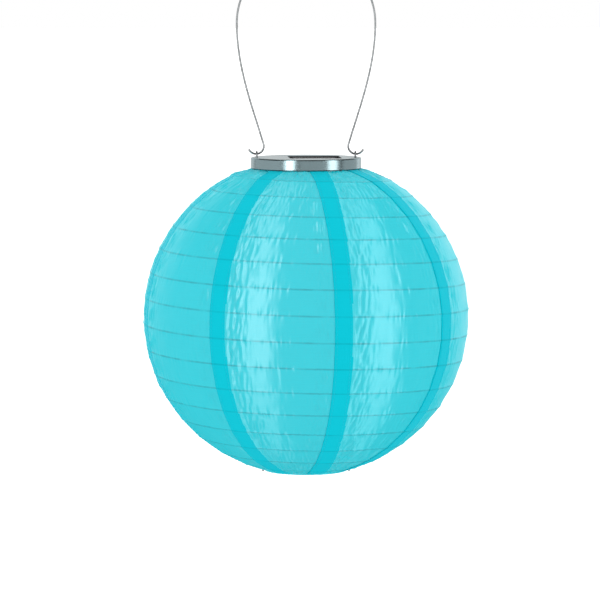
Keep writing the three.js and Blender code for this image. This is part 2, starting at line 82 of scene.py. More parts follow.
LOG = logging.getLogger("lantern")
Color = tuple[float, float, float]
Point = tuple[float, float]
Piece, Mesh, Tree = bpy.types.Object, bpy.types.Mesh, bpy.types.NodeTree
Material = bpy.types.Material
Builder = Callable[[bmesh.types.BMesh], None]


# ---- Node trees -------------------------------------------------------------------------------


class Value:
    """A number or vector in a node tree, so that a formula reads as sums and products."""

    def __init__(self, graph: "Graph", socket: bpy.types.NodeSocket) -> None:
        """Keeps the socket that gives the value."""
        self.graph = graph
        self.socket = socket

    def __neg__(self) -> "Value":
        """The value turned round."""
        return self.graph.math("MULTIPLY", self, -1.0)


def operator(operation: str, swapped: bool) -> Callable[[Value, Any], Value]:
    """A method that joins two values by a Math node, with their order swapped if asked."""

    def method(self: Value, other: Any) -> Value:
        return self.graph.math(operation, *((other, self) if swapped else (self, other)))

    return method


for _symbol, _operation in {"add": "ADD", "sub": "SUBTRACT", "mul": "MULTIPLY", "truediv": "DIVIDE"}.items():
    setattr(Value, f"__{_symbol}__", operator(_operation, False))
    setattr(Value, f"__r{_symbol}__", operator(_operation, True))


class Graph:
    """A node tree that is written as calls, one for each node."""

    def __init__(self, tree: Tree) -> None:
        """Keeps the tree that the nodes go in."""
        self.tree = tree

    def node(self, kind: str, inputs: dict[Any, Any] | None = None, **settings: Any) -> bpy.types.Node:
        """Adds a node.

        Args:
            kind: The node's type name.
            inputs: What goes into its sockets, by name or number: a Value or a constant.
            settings: The node's own settings.

        Returns:
            The new node.
        """
        made = self.tree.nodes.new(kind)
        for name, value in settings.items():
            setattr(made, name, value)
        for key, value in (inputs or {}).items():
            self.feed(made.inputs[key], value)
        return made

    def get(
        self, kind: str, inputs: dict[Any, Any] | None = None, output: Any = 0, **settings: Any
    ) -> Value:
        """Adds a node and gives one of its outputs."""
        return self.value(self.node(kind, inputs, **settings), output)

    def feed(self, socket: bpy.types.NodeSocket, value: Any) -> None:
        """Links a Value to an input, or sets the input to a constant."""
        if isinstance(value, Value):
            self.tree.links.new(value.socket, socket)
        else:
            socket.default_value = value

    def value(self, node: bpy.types.Node, output: Any = 0) -> Value:
        """One of a node's outputs as a Value."""
        return Value(self, node.outputs[output])

    def math(self, operation: str, *numbers: Any) -> Value:
        """A Math node's result on one, two or three numbers."""
        return self.get("ShaderNodeMath", dict(enumerate(numbers)), operation=operation)

    def sin(self, a: Any) -> Value:
        """The sine of an angle in radians."""
        return self.math("SINE", a)

    def cos(self, a: Any) -> Value:
        """The cosine of an angle in radians."""
        return self.math("COSINE", a)

    def clamp(self, a: Any, low: Any, high: Any) -> Value:
        """The number held between two others."""
        return self.math("MINIMUM", self.math("MAXIMUM", a, low), high)

    def fade(self, a: Any, start: float, end: float) -> Value:
        """Runs smoothly from 1 at start to 0 at end."""
        inputs = {"Value": a, "From Min": start, "From Max": end, "To Min": 1.0, "To Max": 0.0}
        return self.get("ShaderNodeMapRange", inputs, interpolation_type="SMOOTHSTEP")

    def bell(self, a: Any, width: Any) -> Value:
        """A bell curve, 1 at zero and small a width away."""
        share = self.math("DIVIDE", a, width)
        return self.math("EXPONENT", -(share * share))

    def vector(self, x: Any, y: Any, z: Any = 0.0) -> Value:
        """Three numbers as a vector."""
        return self.get("ShaderNodeCombineXYZ", {0: x, 1: y, 2: z})

    def split(self, vector: Value) -> list[Value]:
        """A vector's three numbers."""
        made = self.node("ShaderNodeSeparateXYZ", {0: vector})
        return [self.value(made, i) for i in range(3)]

    def noise(self, place: Value, scale: float = 1.0, detail: float = 2.0, roughness: float = 0.5) -> Value:
        """Smooth noise between 0 and 1 at a place."""
        inputs = {"Vector": place, "Scale": scale, "Detail": detail, "Roughness": roughness}
        return self.get("ShaderNodeTexNoise", inputs, noise_dimensions="3D")

    def colour(self, factor: Value, a: Any, b: Any) -> Value:
        """Two colours mixed by a factor."""
        return self.get("ShaderNodeMix", {0: factor, 6: rgba(a), 7: rgba(b)}, output=2, data_type="RGBA")


def rgba(value: Any) -> Any:
    """A colour of three numbers with full alpha added; anything else as it is."""
    return (*value, 1.0) if isinstance(value, tuple) and len(value) == 3 else value


class GeometryTree(Graph):
    """A Geometry Nodes tree, whose named inputs are made when they are first asked for."""

    SOCKETS = {
        float: "NodeSocketFloat",
        Vector: "NodeSocketVector",
        Material: "NodeSocketMaterial",
        Mesh: "NodeSocketGeometry",
    }

    def __init__(self, name: str, outputs: dict[str, type] | None = None) -> None:
        """Makes a tree that gives geometry, or a nested one that gives named outputs."""
        super().__init__(bpy.data.node_groups.new(name, "GeometryNodeTree"))
        self.labels: set[str] = set()
        for label, kind in (outputs or {"Geometry": Mesh}).items():
            self.tree.interface.new_socket(label, in_out="OUTPUT", socket_type=self.SOCKETS[kind])
        self.exit = self.node("NodeGroupOutput")

    def input(self, label: str, kind: type = float, start: float | None = None) -> Value:
        """One of the tree's named inputs.

        Args:
            label: Its name.
            kind: What it holds.
            start: The number that it starts out as.

        Returns:
            Its value.
        """
        if label not in self.labels:
            self.labels.add(label)
            made = self.tree.interface.new_socket(label, in_out="INPUT", socket_type=self.SOCKETS[kind])
            if start is not None:
                made.default_value = start
        return self.get("NodeGroupInput", output=label)

    def __getitem__(self, label: str) -> Value:
        """A named input that holds a number."""
        return self.input(label)

    def index(self) -> Value:
        """Each point's number."""
        return self.get("GeometryNodeInputIndex")

    def placed(self, geometry: Value, position: Value) -> Value:
        """The geometry with its points moved to a position."""
        return self.get("GeometryNodeSetPosition", {"Geometry": geometry, "Position": position})

    def stored(self, geometry: Value, **measures: Value) -> Value:
        """The geometry with named numbers on its points."""
        for name, value in measures.items():
            inputs = {"Geometry": geometry, "Name": name, "Value": value}
            geometry = self.get("GeometryNodeStoreNamedAttribute", inputs, data_type="FLOAT", domain="POINT")
        return geometry

    def points(self, count: Value) -> Value:
        """A number of loose points, joined in a row."""
        return self.get("GeometryNodeMeshLine", {"Count": count})

    def copies(self, points: Value, instance: Value, **inputs: Value) -> Value:
        """Copies of a shape on points."""
        inputs = {"Points": points, "Instance": instance, **inputs}
        return self.get("GeometryNodeInstanceOnPoints", inputs)

    def tube(self, route: Value, radius: Value, sides: Value) -> Value:
        """A round tube along a route of joined points, closed at its ends."""
        curve = self.get("GeometryNodeMeshToCurve", {"Mesh": route})
        ring = self.get("GeometryNodeCurvePrimitiveCircle", {"Resolution": sides, "Radius": radius})
        inputs = {"Curve": curve, "Profile Curve": ring, "Fill Caps": True}
        return self.get("GeometryNodeCurveToMesh", inputs)

    def finish(self, geometry: Value, smooth: bool = True, patch: tuple[Value, str] | None = None) -> Tree:
        """Ends the tree: instances made real, shading and material set.

        Args:
            geometry: What the tree makes.
            smooth: Whether the faces are shaded smooth.
            patch: A choice of faces, and the input whose material they get in place of the main one.

        Returns:
            The finished tree.
        """
        made = self.get("GeometryNodeRealizeInstances", {"Geometry": geometry})
        made = self.get("GeometryNodeSetShadeSmooth", {"Geometry": made, "Shade Smooth": smooth})
        for chosen, label in ((True, "Material"), *([patch] if patch else [])):
            material = self.input(label, Material)
            inputs = {"Geometry": made, "Selection": chosen, "Material": material}
            made = self.get("GeometryNodeSetMaterial", inputs)
        self.feed(self.exit.inputs["Geometry"], made)
        return self.tree


def grown(name: str, tree: Tree, source: Mesh | None = None, **inputs: Any) -> Piece:
    """Runs a Geometry Nodes tree and keeps what it makes as a plain mesh object.

    Args:
        name: The piece's name.
        tree: The tree.
        source: The mesh that it starts from, or nothing.
        inputs: What its named inputs are set to, with underscores for their spaces.

    Returns:
        The piece, at the origin, with no modifier.
    """
    piece = linked(name, source or bpy.data.meshes.new(name))
    modifier = piece.modifiers.new("grow", "NODES")
    modifier.node_group = tree
    for item in tree.interface.items_tree:
        value = inputs.get(item.name.replace(" ", "_"))
        if item.in_out == "INPUT" and value is not None:
            modifier[item.identifier] = float(value) if isinstance(value, int) else value
    return baked(piece)


def linked(name: str, mesh: Mesh) -> Piece:
    """A mesh as an object of that name in the scene."""
    mesh.name = name
    piece = bpy.data.objects.new(name, mesh)
    bpy.context.scene.collection.objects.link(piece)
    return piece


# ---- Mesh work --------------------------------------------------------------------------------


def baked(piece: Piece) -> Piece:
    """Applies a piece's modifiers to its mesh."""
    depsgraph = bpy.context.evaluated_depsgraph_get()
    mesh = bpy.data.meshes.new_from_object(piece.evaluated_get(depsgraph), depsgraph=depsgraph)
    piece.modifiers.clear()
    before, piece.data = piece.data, mesh
    bpy.data.meshes.remove(before)
    mesh.name = piece.name
    return piece


def cut(piece: Piece, *cutters: Piece, use_self: bool = False) -> Piece:
    """Cuts other pieces out of a piece, and removes them."""
    for cutter in cutters:
        made = piece.modifiers.new("cut", "BOOLEAN")
        made.operation = "DIFFERENCE"
        made.solver = "EXACT"
        made.use_self = use_self
        made.object = cutter
    baked(piece)
    for cutter in cutters:
        bpy.data.objects.remove(cutter)
    return piece


def walled(piece: Piece, thickness: float) -> Piece:
    """Gives a thin skin its thickness, inwards from its outer face."""
    solidify = piece.modifiers.new("wall", "SOLIDIFY")
    solidify.thickness = thickness
    solidify.offset = -1
    return baked(piece)


def smoothed(piece: Piece, angle: float) -> Piece:
    """Shades a piece smooth, with edges sharper than an angle in degrees kept crisp."""
    piece.data.shade_smooth()
    piece.data.set_sharp_from_angle(angle=radians(angle))
    return piece


def mesh_piece(name: str, build: Builder, material: Material) -> Piece:
    """Makes a piece from a function that fills a bmesh, with its faces turned outwards."""
    mesh = bpy.data.meshes.new(name)
    made = bmesh.new()
    build(made)
    bmesh.ops.remove_doubles(made, verts=made.verts, dist=1e-7)
    bmesh.ops.recalc_face_normals(made, faces=made.faces)
    made.to_mesh(mesh)
    made.free()
    mesh.materials.append(material)
    return linked(name, mesh)


def swept(rings: Sequence[Sequence[Vector]], closed: bool = False) -> Builder:
    """A builder that joins rings of points with quads.

    Args:
        rings: Rings of the same number of points, each closed on itself.
        closed: Whether the last ring joins the first; if not, both end rings are filled.

    Returns:
        The builder for mesh_piece.
    """

    def build(made: bmesh.types.BMesh) -> None:
        rows = [[made.verts.new(p) for p in ring] for ring in rings]
        pairs = list(zip(rows, rows[1:] + rows[:1] if closed else rows[1:]))
        for a, b in pairs:
            for i in range(len(a)):
                j = (i + 1) % len(a)
                made.faces.new((a[i], a[j], b[j], b[i]))
        if not closed:
            made.faces.new(rows[0])
            made.faces.new(rows[-1])

    return build


def turned(profile: Sequence[Point], base: float, sides: int) -> list[list[Vector]]:
    """Rings of points for a profile of (radius, height) turned about Z, above a base height."""
    angles = [TURN * i / sides for i in range(sides)]
    return [[Vector((r * math.cos(a), r * math.sin(a), base + z)) for a in angles] for r, z in profile]


def rounded(corner: Point, start: Point, end: Point, radius: float, steps: int) -> list[Point]:
    """A corner of a profile rounded off.

    Args:
        corner: The sharp corner.
        start: A point on the side that comes before it.
        end: A point on the side that comes after it.
        radius: How far from the corner the rounding starts.
        steps: The number of short sides.

    Returns:
        The points from one side to the other.
    """
    middle = Vector(corner)
    first = middle + (Vector(start) - middle).normalized() * radius
    last = middle + (Vector(end) - middle).normalized() * radius
    points = []
    for i in range(steps + 1):
        t = i / steps
        points.append(tuple(first * (1 - t) ** 2 + middle * 2 * t * (1 - t) + last * t**2))
    return points


def arc(
    centre: Vector, radius: float, start: float, end: float, steps: int, a: int = 0, b: int = 2
) -> list[Vector]:
    """Points on an arc in the plane of two axes.

    Args:
        centre: The arc's centre.
        radius: Its radius.
        start: Its first angle in degrees, from axis a towards axis b.
        end: Its last angle.
        steps: The number of steps.
        a: The number of the first axis.
        b: The number of the second axis.

    Returns:
        The points.
    """
    points = []
    for i in range(steps + 1):
        angle = radians(start + (end - start) * i / steps)
        point = centre.copy()
        point[a] += radius * math.cos(angle)
        point[b] += radius * math.sin(angle)
        points.append(point)
    return points


# ---- Finishes ---------------------------------------------------------------------------------


class Paint(Graph):
    """A material's node tree around one Principled shader."""

    def __init__(self, name: str) -> None:
        """Makes an empty material."""
        self.material = bpy.data.materials.new(name)
        self.material.use_nodes = True
        super().__init__(self.material.node_tree)
        self.shader = self.tree.nodes["Principled BSDF"]

    def set(self, **sockets: Any) -> None:
        """Sets or feeds the shader's sockets; a word's underscores stand for spaces."""
        for name, value in sockets.items():
            self.feed(self.shader.inputs[name.replace("_", " ")], rgba(value))

    def place(self) -> Value:
        """The place on the object."""
        return self.get("ShaderNodeTexCoord", output="Object")

    def attribute(self, name: str) -> Value:
        """A number that the piece's own mesh carries."""
        return self.get("ShaderNodeAttribute", output="Fac", attribute_name=name)

    def scaled(self, place: Value, x: float, y: float, z: float) -> Value:
        """A place stretched along its three axes."""
        return self.get("ShaderNodeMapping", {"Vector": place, "Scale": (x, y, z)})

    def ramp(self, factor: Value, *stops: tuple[float, Color]) -> Value:
        """A colour ramp."""
        made = self.node("ShaderNodeValToRGB", {0: factor})
        elements = made.color_ramp.elements
        while len(elements) < len(stops):
            elements.new(0.5)
        for element, (place, color) in zip(elements, stops):
            element.position = place
            element.color = rgba(color)
        return self.value(made)

    def bump(self, height: Value, depth: float, strength: float = 1.0, under: Value | None = None) -> Value:
        """A bumped normal.

        Args:
            height: The height, from 0 to 1.
            depth: What a height of 1 stands for, in metres.
            strength: How much of the bump shows.
            under: A bumped normal that this one goes on top of.

        Returns:
            The normal.
        """
        inputs = {"Height": height, "Distance": depth, "Strength": strength}
        return self.get("ShaderNodeBump", inputs | ({"Normal": under} if under else {}))


@dataclass(frozen=True)
class Coating:
    """A finish with a name and a colour; each kind sets its own shader."""

    name: str
    color: Color

    def made(self) -> Material:
        """Builds the material."""
        paint = Paint(self.name)
        self.dress(paint)
        return paint.material

    def dress(self, paint: Paint) -> None:
        """Sets the shader."""
        raise NotImplementedError

    def tint(self, factor: float, lift: float = 0.0) -> Color:
        """The colour made darker or lighter."""
        return tuple(min(c * factor + lift, 1.0) for c in self.color)


@dataclass(frozen=True)
class Moulded(Coating):
    """Moulded plastic or rubber: a fine grain, and faint changes of colour."""

    roughness: float = 0.5
    grain: float = 0.00004
    grain_size: float = 0.0004
    coat: float = 0.0

    def dress(self, paint: Paint) -> None:
        """Sets the shader."""
        place = paint.place()
        cloud = paint.noise(place, 60.0, 3.0)
        paint.set(
            Base_Color=paint.colour(cloud, self.tint(0.86), self.tint(1.08, 0.004)),
            Roughness=paint.math("MULTIPLY_ADD", cloud, 0.16, self.roughness - 0.08),
            Coat_Weight=self.coat,
            Coat_Roughness=0.12,
            Normal=paint.bump(paint.noise(place, 1 / self.grain_size, 2.0), self.grain),
        )


@dataclass(frozen=True)
class DrawnWire(Coating):
    """Plated steel wire: bright, with faint draw lines and a little tarnish."""

    roughness: float = 0.3

    def dress(self, paint: Paint) -> None:
        """Sets the shader."""
        place = paint.place()
        tarnish = paint.noise(place, 220.0, 4.0, 0.6)
        lines = paint.noise(paint.scaled(place, 5200.0, 5200.0, 260.0))
        paint.set(
            Base_Color=paint.ramp(tarnish, (0.35, self.tint(0.72)), (0.62, self.color)),
            Metallic=1.0,
            Roughness=paint.math("MULTIPLY_ADD", tarnish, -0.16, self.roughness + 0.08),
            Normal=paint.bump(lines, 0.00001, 0.6),
        )


@dataclass(frozen=True)
class BrushedSheet(Coating):
    """Brushed sheet metal: short lines round the lantern on an upright wall, and along X on a flat top."""

    roughness: float = 0.36

    def dress(self, paint: Paint) -> None:
        """Sets the shader."""
        place = paint.place()
        x, y, z = paint.split(place)
        up = paint.split(paint.get("ShaderNodeNewGeometry", output="Normal"))[2]
        wall = paint.fade(paint.math("ABSOLUTE", up), 0.5, 0.8)
        around = paint.math("ARCTAN2", y, x)
        on_wall = paint.noise(paint.vector(around * 14.0, 0.0, z * 9000.0), 1.0, 3.0, 0.65)
        on_top = paint.noise(paint.vector(x * 160.0, y * 7000.0), 1.0, 3.0, 0.65)
        lines = on_top + (on_wall - on_top) * wall
        shade = paint.math("MULTIPLY_ADD", lines, 0.6, paint.noise(place, 35.0, 3.0) * 0.4)
        paint.set(
            Base_Color=paint.ramp(shade, (0.3, self.tint(0.8)), (0.7, self.color)),
            Metallic=1.0,
            Roughness=paint.math("MULTIPLY_ADD", lines, 0.14, self.roughness - 0.07),
            Normal=paint.bump(lines, 0.000012, 0.7),
        )


@dataclass(frozen=True)
class Nylon(Coating):
    """Satin woven nylon, whose gloss is drawn out along the lantern's axis.

    It reads how far each point lies across and along the cloth, and from a wire, from the mesh. Along each
    wire it paints a broken dark line, partly the wire and doubled cloth and partly painted shade of the
    crease.
    """

    color: Color = (0.0, 0.668, 0.780)
    # shadow: the colour of the line along each wire, partly the wire and doubled cloth, partly painted shade
    # of the crease
    shadow: Color = (0.0, 0.380, 0.460)
    roughness: float = 0.44
    gloss: float = 1.0
    seam_width: float = 0.014
    thread_pitch: float = 0.0011

    def dress(self, paint: Paint) -> None:
        """Sets the shader."""
        across = paint.attribute("across")
        cloth = paint.vector(across, paint.attribute("along"))

        def weave(x: float, y: float, detail: float = 2.0, roughness: float = 0.5) -> Value:
            return paint.noise(paint.scaled(cloth, x, y, 1.0), 1.0, detail, roughness)

        streaks = weave(55.0, 1 / self.thread_pitch, 3.0, 0.6)
        slubs, warp = weave(120.0, 2600.0, 2.0, 0.7), weave(2200.0, 90.0, 2.0, 0.6)
        crinkle, broken = weave(330.0, 95.0, 3.0, 0.6), weave(70.0, 20.0)
        cloud = paint.noise(paint.place(), 26.0, 3.0, 0.55)
        mottle = paint.math("MULTIPLY_ADD", streaks, 0.7, cloud * 0.3)
        body = paint.colour(mottle, self.tint(0.92), self.tint(1.06))
        by_wire = paint.fade(paint.attribute("wire"), 0.0003, 0.0010)
        threads = paint.bump(slubs * 0.55 + warp * 0.45, 0.00005, 0.55)
        by_seam = paint.fade(across, self.seam_width + 0.008, self.seam_width + 0.030)
        paint.set(
            # Base colour: the cloth's mottled tone, with a broken dark line along each wire that is partly
            # painted shade of the crease
            Base_Color=paint.colour(by_wire * (broken * 1.6 - 0.25), body, self.shadow),
            Roughness=slubs * 0.08 + (self.roughness - 0.04),
            IOR=1.65,
            Specular_IOR_Level=self.gloss,
            Anisotropic=1.0,
            Tangent=paint.vector(0.0, 0.0, 1.0),
            Normal=paint.bump(crinkle * (by_seam * 0.8 + 0.2), 0.00035, 0.5, threads),
        )


@dataclass(frozen=True)
class SolarSilicon(Coating):
    """Dark blue silicon under clear resin."""

    def dress(self, paint: Paint) -> None:
        """Sets the shader."""
        place = paint.place()
        facets = paint.get("ShaderNodeTexVoronoi", {"Vector": place, "Scale": 260.0}, "Color")
        paint.set(
            Base_Color=paint.colour(paint.split(facets)[0] * 0.6, self.color, self.tint(2.6, 0.004)),
            Roughness=0.32,
            Coat_Weight=1.0,
            Coat_Roughness=0.04,
            Normal=paint.bump(paint.noise(place, 1500.0), 0.00001, 0.4),
        )


@dataclass(frozen=True)
class ClearLens(Coating):
    """Milky clear resin."""

    def dress(self, paint: Paint) -> None:
        """Sets the shader."""
        paint.set(
            Base_Color=paint.colour(paint.noise(paint.place(), 900.0), self.tint(0.82), self.color),
            Roughness=0.07,
            IOR=1.52,
            Coat_Weight=0.6,
            Coat_Roughness=0.03,
        )


class Finish(Enum):
    """The lantern's finishes."""

    WIRE_STEEL = DrawnWire("wire_steel", (0.42, 0.44, 0.45))
    LID_METAL = BrushedSheet("lid_metal", (0.38, 0.51, 0.54), 0.24)
    SHADE_NYLON = Nylon("shade_nylon")
    SEAM_NYLON = Nylon("seam_nylon", (0.0, 0.535, 0.650), (0.0, 0.400, 0.490), 0.6, 0.06)
    SOLAR_CELL = SolarSilicon("solar_cell", (0.006, 0.012, 0.035))
    SEAL_RUBBER = Moulded("seal_rubber", (0.02, 0.02, 0.022), 0.72)
    COLLAR_PLASTIC = Moulded("collar_plastic", (0.05, 0.055, 0.06), 0.5)
    HOUSING_PLASTIC = Moulded("housing_plastic", (0.72, 0.73, 0.72), 0.42)
    BOARD = Moulded("board", (0.02, 0.16, 0.07), 0.35, coat=0.5)
    DARK_PLASTIC = Moulded("dark_plastic", (0.025, 0.026, 0.028), 0.45)
    LED_LENS = ClearLens("led_lens", (0.85, 0.86, 0.80))
    BATTERY_WRAP = Moulded("battery_wrap", (0.04, 0.26, 0.09), 0.3, 0.000006, coat=0.7)
    CONTACT_METAL = DrawnWire("contact_metal", (0.74, 0.66, 0.45), 0.26)
    LEAD_RED = Moulded("lead_red", (0.5, 0.03, 0.02), 0.5, 0.000008)
    LEAD_BLACK = Moulded("lead_black", (0.02, 0.02, 0.02), 0.5, 0.000008)
    THREAD = Moulded("seam_thread", (0.0, 0.55, 0.67), 0.85, 0.00001, 0.0002)
    CELL_SILVER = DrawnWire("cell_silver", (0.70, 0.71, 0.72), 0.3)

    @property
    def slot(self) -> str:
        """The record's slot that the finish belongs to."""
        shared = {"THREAD": "shade_nylon", "SEAM_NYLON": "shade_nylon", "CELL_SILVER": "solar_cell"}
        return shared.get(self.name, self.value.name)

    @cached_property
    def material(self) -> Material:
        """The finish's material, built once."""
        return self.value.made()


def finished(piece: Piece, finish: Finish, body: str, *replaced: str) -> Piece:
    """Hands a piece to the frame.

    Args:
        piece: The piece.
        finish: Its finish.
        body: The body that it moves with.
        replaced: The frame's nodes that it stands for.

    Returns:
        The piece.
    """
    if not piece.data.materials:
        piece.data.materials.append(finish.material)
    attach(piece, body)
    finish.slot
    if replaced:
        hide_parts(*replaced)
    LOG.info("%s: %d faces on %s", piece.name, len(piece.data.polygons), body)
    return piece


# ---- Shade ------------------------------------------------------------------------------------


@dataclass
class Shade:
    """A nylon globe of eight lapped gores over a spiral wire, hemmed at both ends.

    Lengths are in metres and angles in degrees. A turn of the spiral is one band of cloth.
    """

    half_height: float = 0.124
    shoulder_radius: float = 0.053
    neck_height: float = 0.115
    neck_slope: float = 0.2
    shoulder_drop: float = 0.00232
    gores: int = 8
    first_seam: float = -77.0
    seam_width: float = 0.014
    pitch: float = 9.28
    front_latitude: float = 5.0
    front_meridian: float = -84.0
    top: float = 70.66
    bottom: float = -75.3
    spiral_top: float = 62.0
    spiral_bottom: float = -71.0
    spiral_wire: float = 0.0006
    cloth: float = 0.0002
    bulge: float = 0.0002
    bead: float = 0.00025
    bead_width: float = 0.0011
    turns: int = 18
    rows_per_turn: int = 10
    columns: int = 116
    row_gathering: float = 0.85
    outer_lift: float = 0.00028
    inner_lift: float = -0.0001
    lap_fade: float = 0.0035
    seam_fade: float = 0.003
    seam_ripple: float = 0.0006
    gathers: float = 0.0012
    gather_size: Point = (0.0024, 0.012)
    puckers: float = 0.0036
    pucker_size: Point = (0.0027, 0.0085)
    pucker_lean: float = 0.35
    slack: float = 0.0016
    slack_size: Point = (0.021, 0.012)
    slack_lean: float = 0.1
    hem_gap: float = 3.0
    stitch_pitch: float = 0.003
    stitch_length: float = 0.0022
    stitch_inset: float = 0.0018
    thread: float = 0.00016

    @cached_property
    def radius(self) -> float:
        """The globe's outer radius, from the frame."""
        return max(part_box(f"gore_{i + 1}")[1].x for i in range(self.gores))

    @cached_property
    def centre(self) -> float:
        """The height of the globe's centre, from the frame."""
        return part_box("gore_1")[1].z - self.neck_height


    def surface_tree(self) -> Tree:
        """Builds the cloth's outer surface as a function of azimuth and turn.

        Returns:
            A tree that gives a place on the cloth, its latitude, its distance from the axis and its
            distance to the nearest wire.
        """
        outputs = {"Position": Vector, "Latitude": float, "Reach": float, "Wire": float}
        tree = GeometryTree("cloth_surface", outputs)

        def size(label: str, start: float) -> Value:
            return tree.input(label, start=start)

        azimuth, turn, lift = tree["Azimuth"], tree["Turn"], tree["Lift"]
        radius, pitch = size("Radius", self.radius), size("Pitch", radians(self.pitch))
        bottom, top = size("Bottom", radians(self.bottom)), size("Top", radians(self.top))
        front = size("Front Meridian", radians(self.front_meridian))
        swing = (azimuth - front) / TURN
        start = size("Front Latitude", radians(self.front_latitude)) - pitch * swing
        whole = tree.math("FLOOR", turn)
        share = turn - whole
        low = tree.clamp(start + whole * pitch, bottom, top)
        high = tree.clamp(start + (whole + 1.0) * pitch, bottom, top)

        def meridian(latitude: Value) -> tuple[Value, Value]:
            r = radius * tree.cos(latitude)
            past = size("Shoulder Radius", self.shoulder_radius) - r
            shoulder = size("Shoulder Height", self.neck_height - self.shoulder_drop)
            cone = shoulder + past * size("Neck Slope", self.neck_slope)
            globe = size("Half Height", self.half_height) * tree.sin(latitude)
            return r, tree.math("MINIMUM", globe, cone)

        (r0, z0), (r1, z1) = meridian(low), meridian(high)
        latitude = low + (high - low) * share
        span = (high - low) * radius
        nearest = tree.math("MINIMUM", share * span, (1.0 - share) * span)
        above = tree.math("LESS_THAN", size("Spiral Top", radians(self.spiral_top)), latitude)
        below = tree.math("LESS_THAN", latitude, size("Spiral Bottom", radians(self.spiral_bottom)))
        wire = nearest + (above + below) * radius
        swell = size("Bulge", self.bulge) * 4.0 * share * (1.0 - share) * (span / (pitch * radius))
        bead = size("Bead", self.bead) * tree.bell(wire, size("Bead Width", self.bead_width))
        out = lift + bead + swell
        reach = r0 + (r1 - r0) * share + out * tree.cos(latitude)
        height = z0 + (z1 - z0) * share + out * tree.sin(latitude) + size("Centre", self.centre)
        place = tree.vector(reach * tree.cos(azimuth), reach * tree.sin(azimuth), height)
        for label, value in zip(outputs, (place, latitude, reach, wire)):
            tree.feed(tree.exit.inputs[label], value)
        return tree.tree

    def on_cloth(self, tree: GeometryTree, azimuth: Any, turn: Any, lift: Any = 0.0) -> dict[str, Value]:
        """The cloth's surface in a tree, as its named outputs."""
        inputs = {"Azimuth": azimuth, "Turn": turn, "Lift": lift}
        made = tree.node("GeometryNodeGroup", inputs, node_tree=self.surface)
        return {output.name: tree.value(made, output.name) for output in made.outputs}

    def gore_tree(self) -> Tree:
        """Builds one gore's cloth: a grid of bands between wires, gathered at its wires and seams."""
        tree = GeometryTree("gore_cloth")
        width, angle, globe = tree["Seam Width"], tree["Gore Angle"], tree["Globe Radius"]
        turns, seam, seed = tree["Turns"], tree["Seam Azimuth"], tree["Seed"]
        counts = {"Vertices X": tree["Columns"] + 1.0, "Vertices Y": turns * tree["Rows per Turn"] + 1.0}
        grid = tree.get("GeometryNodeMeshGrid", {"Size X": 1.0, "Size Y": 1.0, **counts})
        x, y, _ = tree.split(tree.get("GeometryNodeInputPosition"))
        u, v = x + 0.5, y + 0.5
        climbed = v * turns
        whole = tree.math("FLOOR", climbed + 0.0001)
        share = climbed - whole
        bunched = share - tree["Row Gathering"] * tree.sin(share * TURN) / TURN
        turn = tree["First Turn"] + whole + tree.clamp(bunched, 0.0, 1.0)
        reach = self.on_cloth(tree, seam + u * angle, turn)["Reach"]
        azimuth = seam - width / (reach * 2.0) + u * (angle + width / reach)
        fine = self.on_cloth(tree, azimuth, turn)
        wire = fine["Wire"]

        breadth = angle * reach + width
        across, behind = u * breadth, (1.0 - u) * breadth
        along = fine["Latitude"] * globe
        edge = tree.math("MINIMUM", across, behind) - width
        free = 1.0 - tree.fade(edge, 0.0, self.seam_fade)

        def wave(size: tuple[float, float], lean: float, layer: float) -> Value:
            slanted = across + along * lean * tree.math("SIGN", u - 0.5)
            return tree.noise(tree.vector(slanted / size[0], along / size[1], seed + layer), 1.0, 1.0) - 0.5

        by_wire = tree.bell(wire, 0.0045)
        by_seam = tree.fade(edge, 0.004, 0.026)
        mid_band = 1.0 - tree.bell(wire, 0.004)
        gathers = wave(self.gather_size, 0.0, 1.0) * by_wire * tree["Gathers"]
        puckers = wave(self.pucker_size, self.pucker_lean, 2.0) * by_seam * mid_band * tree["Puckers"]
        slack = wave(self.slack_size, self.slack_lean, 3.0) * mid_band * tree["Slack"]
        in_seam = tree.vector(azimuth * globe / 0.008, along / 0.007, 9.0)
        ripple = (tree.noise(in_seam, 1.0, 1.0) - 0.5) * tree["Seam Ripple"] * (1.0 - free) * mid_band
        lap_end = self.seam_width + self.lap_fade
        lapped = tree.fade(across, self.seam_width, lap_end) * tree["Outer Lift"]
        tucked = tree.fade(behind, self.seam_width, lap_end) * tree["Inner Lift"]
        lift = (gathers + puckers + slack) * free + ripple + lapped + tucked
        measured = tree.stored(grid, across=across, along=along, wire=wire)
        shaped = tree.placed(measured, self.on_cloth(tree, azimuth, turn, lift)["Position"])
        merged = tree.get("GeometryNodeMergeByDistance", {"Geometry": shaped, "Distance": 0.00001})
        from_edge = tree.get("GeometryNodeInputNamedAttribute", {"Name": "across"}, data_type="FLOAT")
        in_lap = tree.math("LESS_THAN", from_edge, width)
        return tree.finish(merged, patch=(in_lap, "Seam Material"))

    def spiral_tree(self) -> Tree:
        """Builds the spiral wire under the cloth."""
        tree = GeometryTree("spiral_wire")
        steps, start = tree["Steps"], tree["Start"]
        azimuth = start + (tree["End"] - start) * tree.index() / steps
        route = self.on_cloth(tree, azimuth, 0.0, -tree["Depth"])["Position"]
        line = tree.placed(tree.points(steps + 1.0), route)
        return tree.finish(tree.tube(line, tree["Wire Radius"], tree["Sides"]))

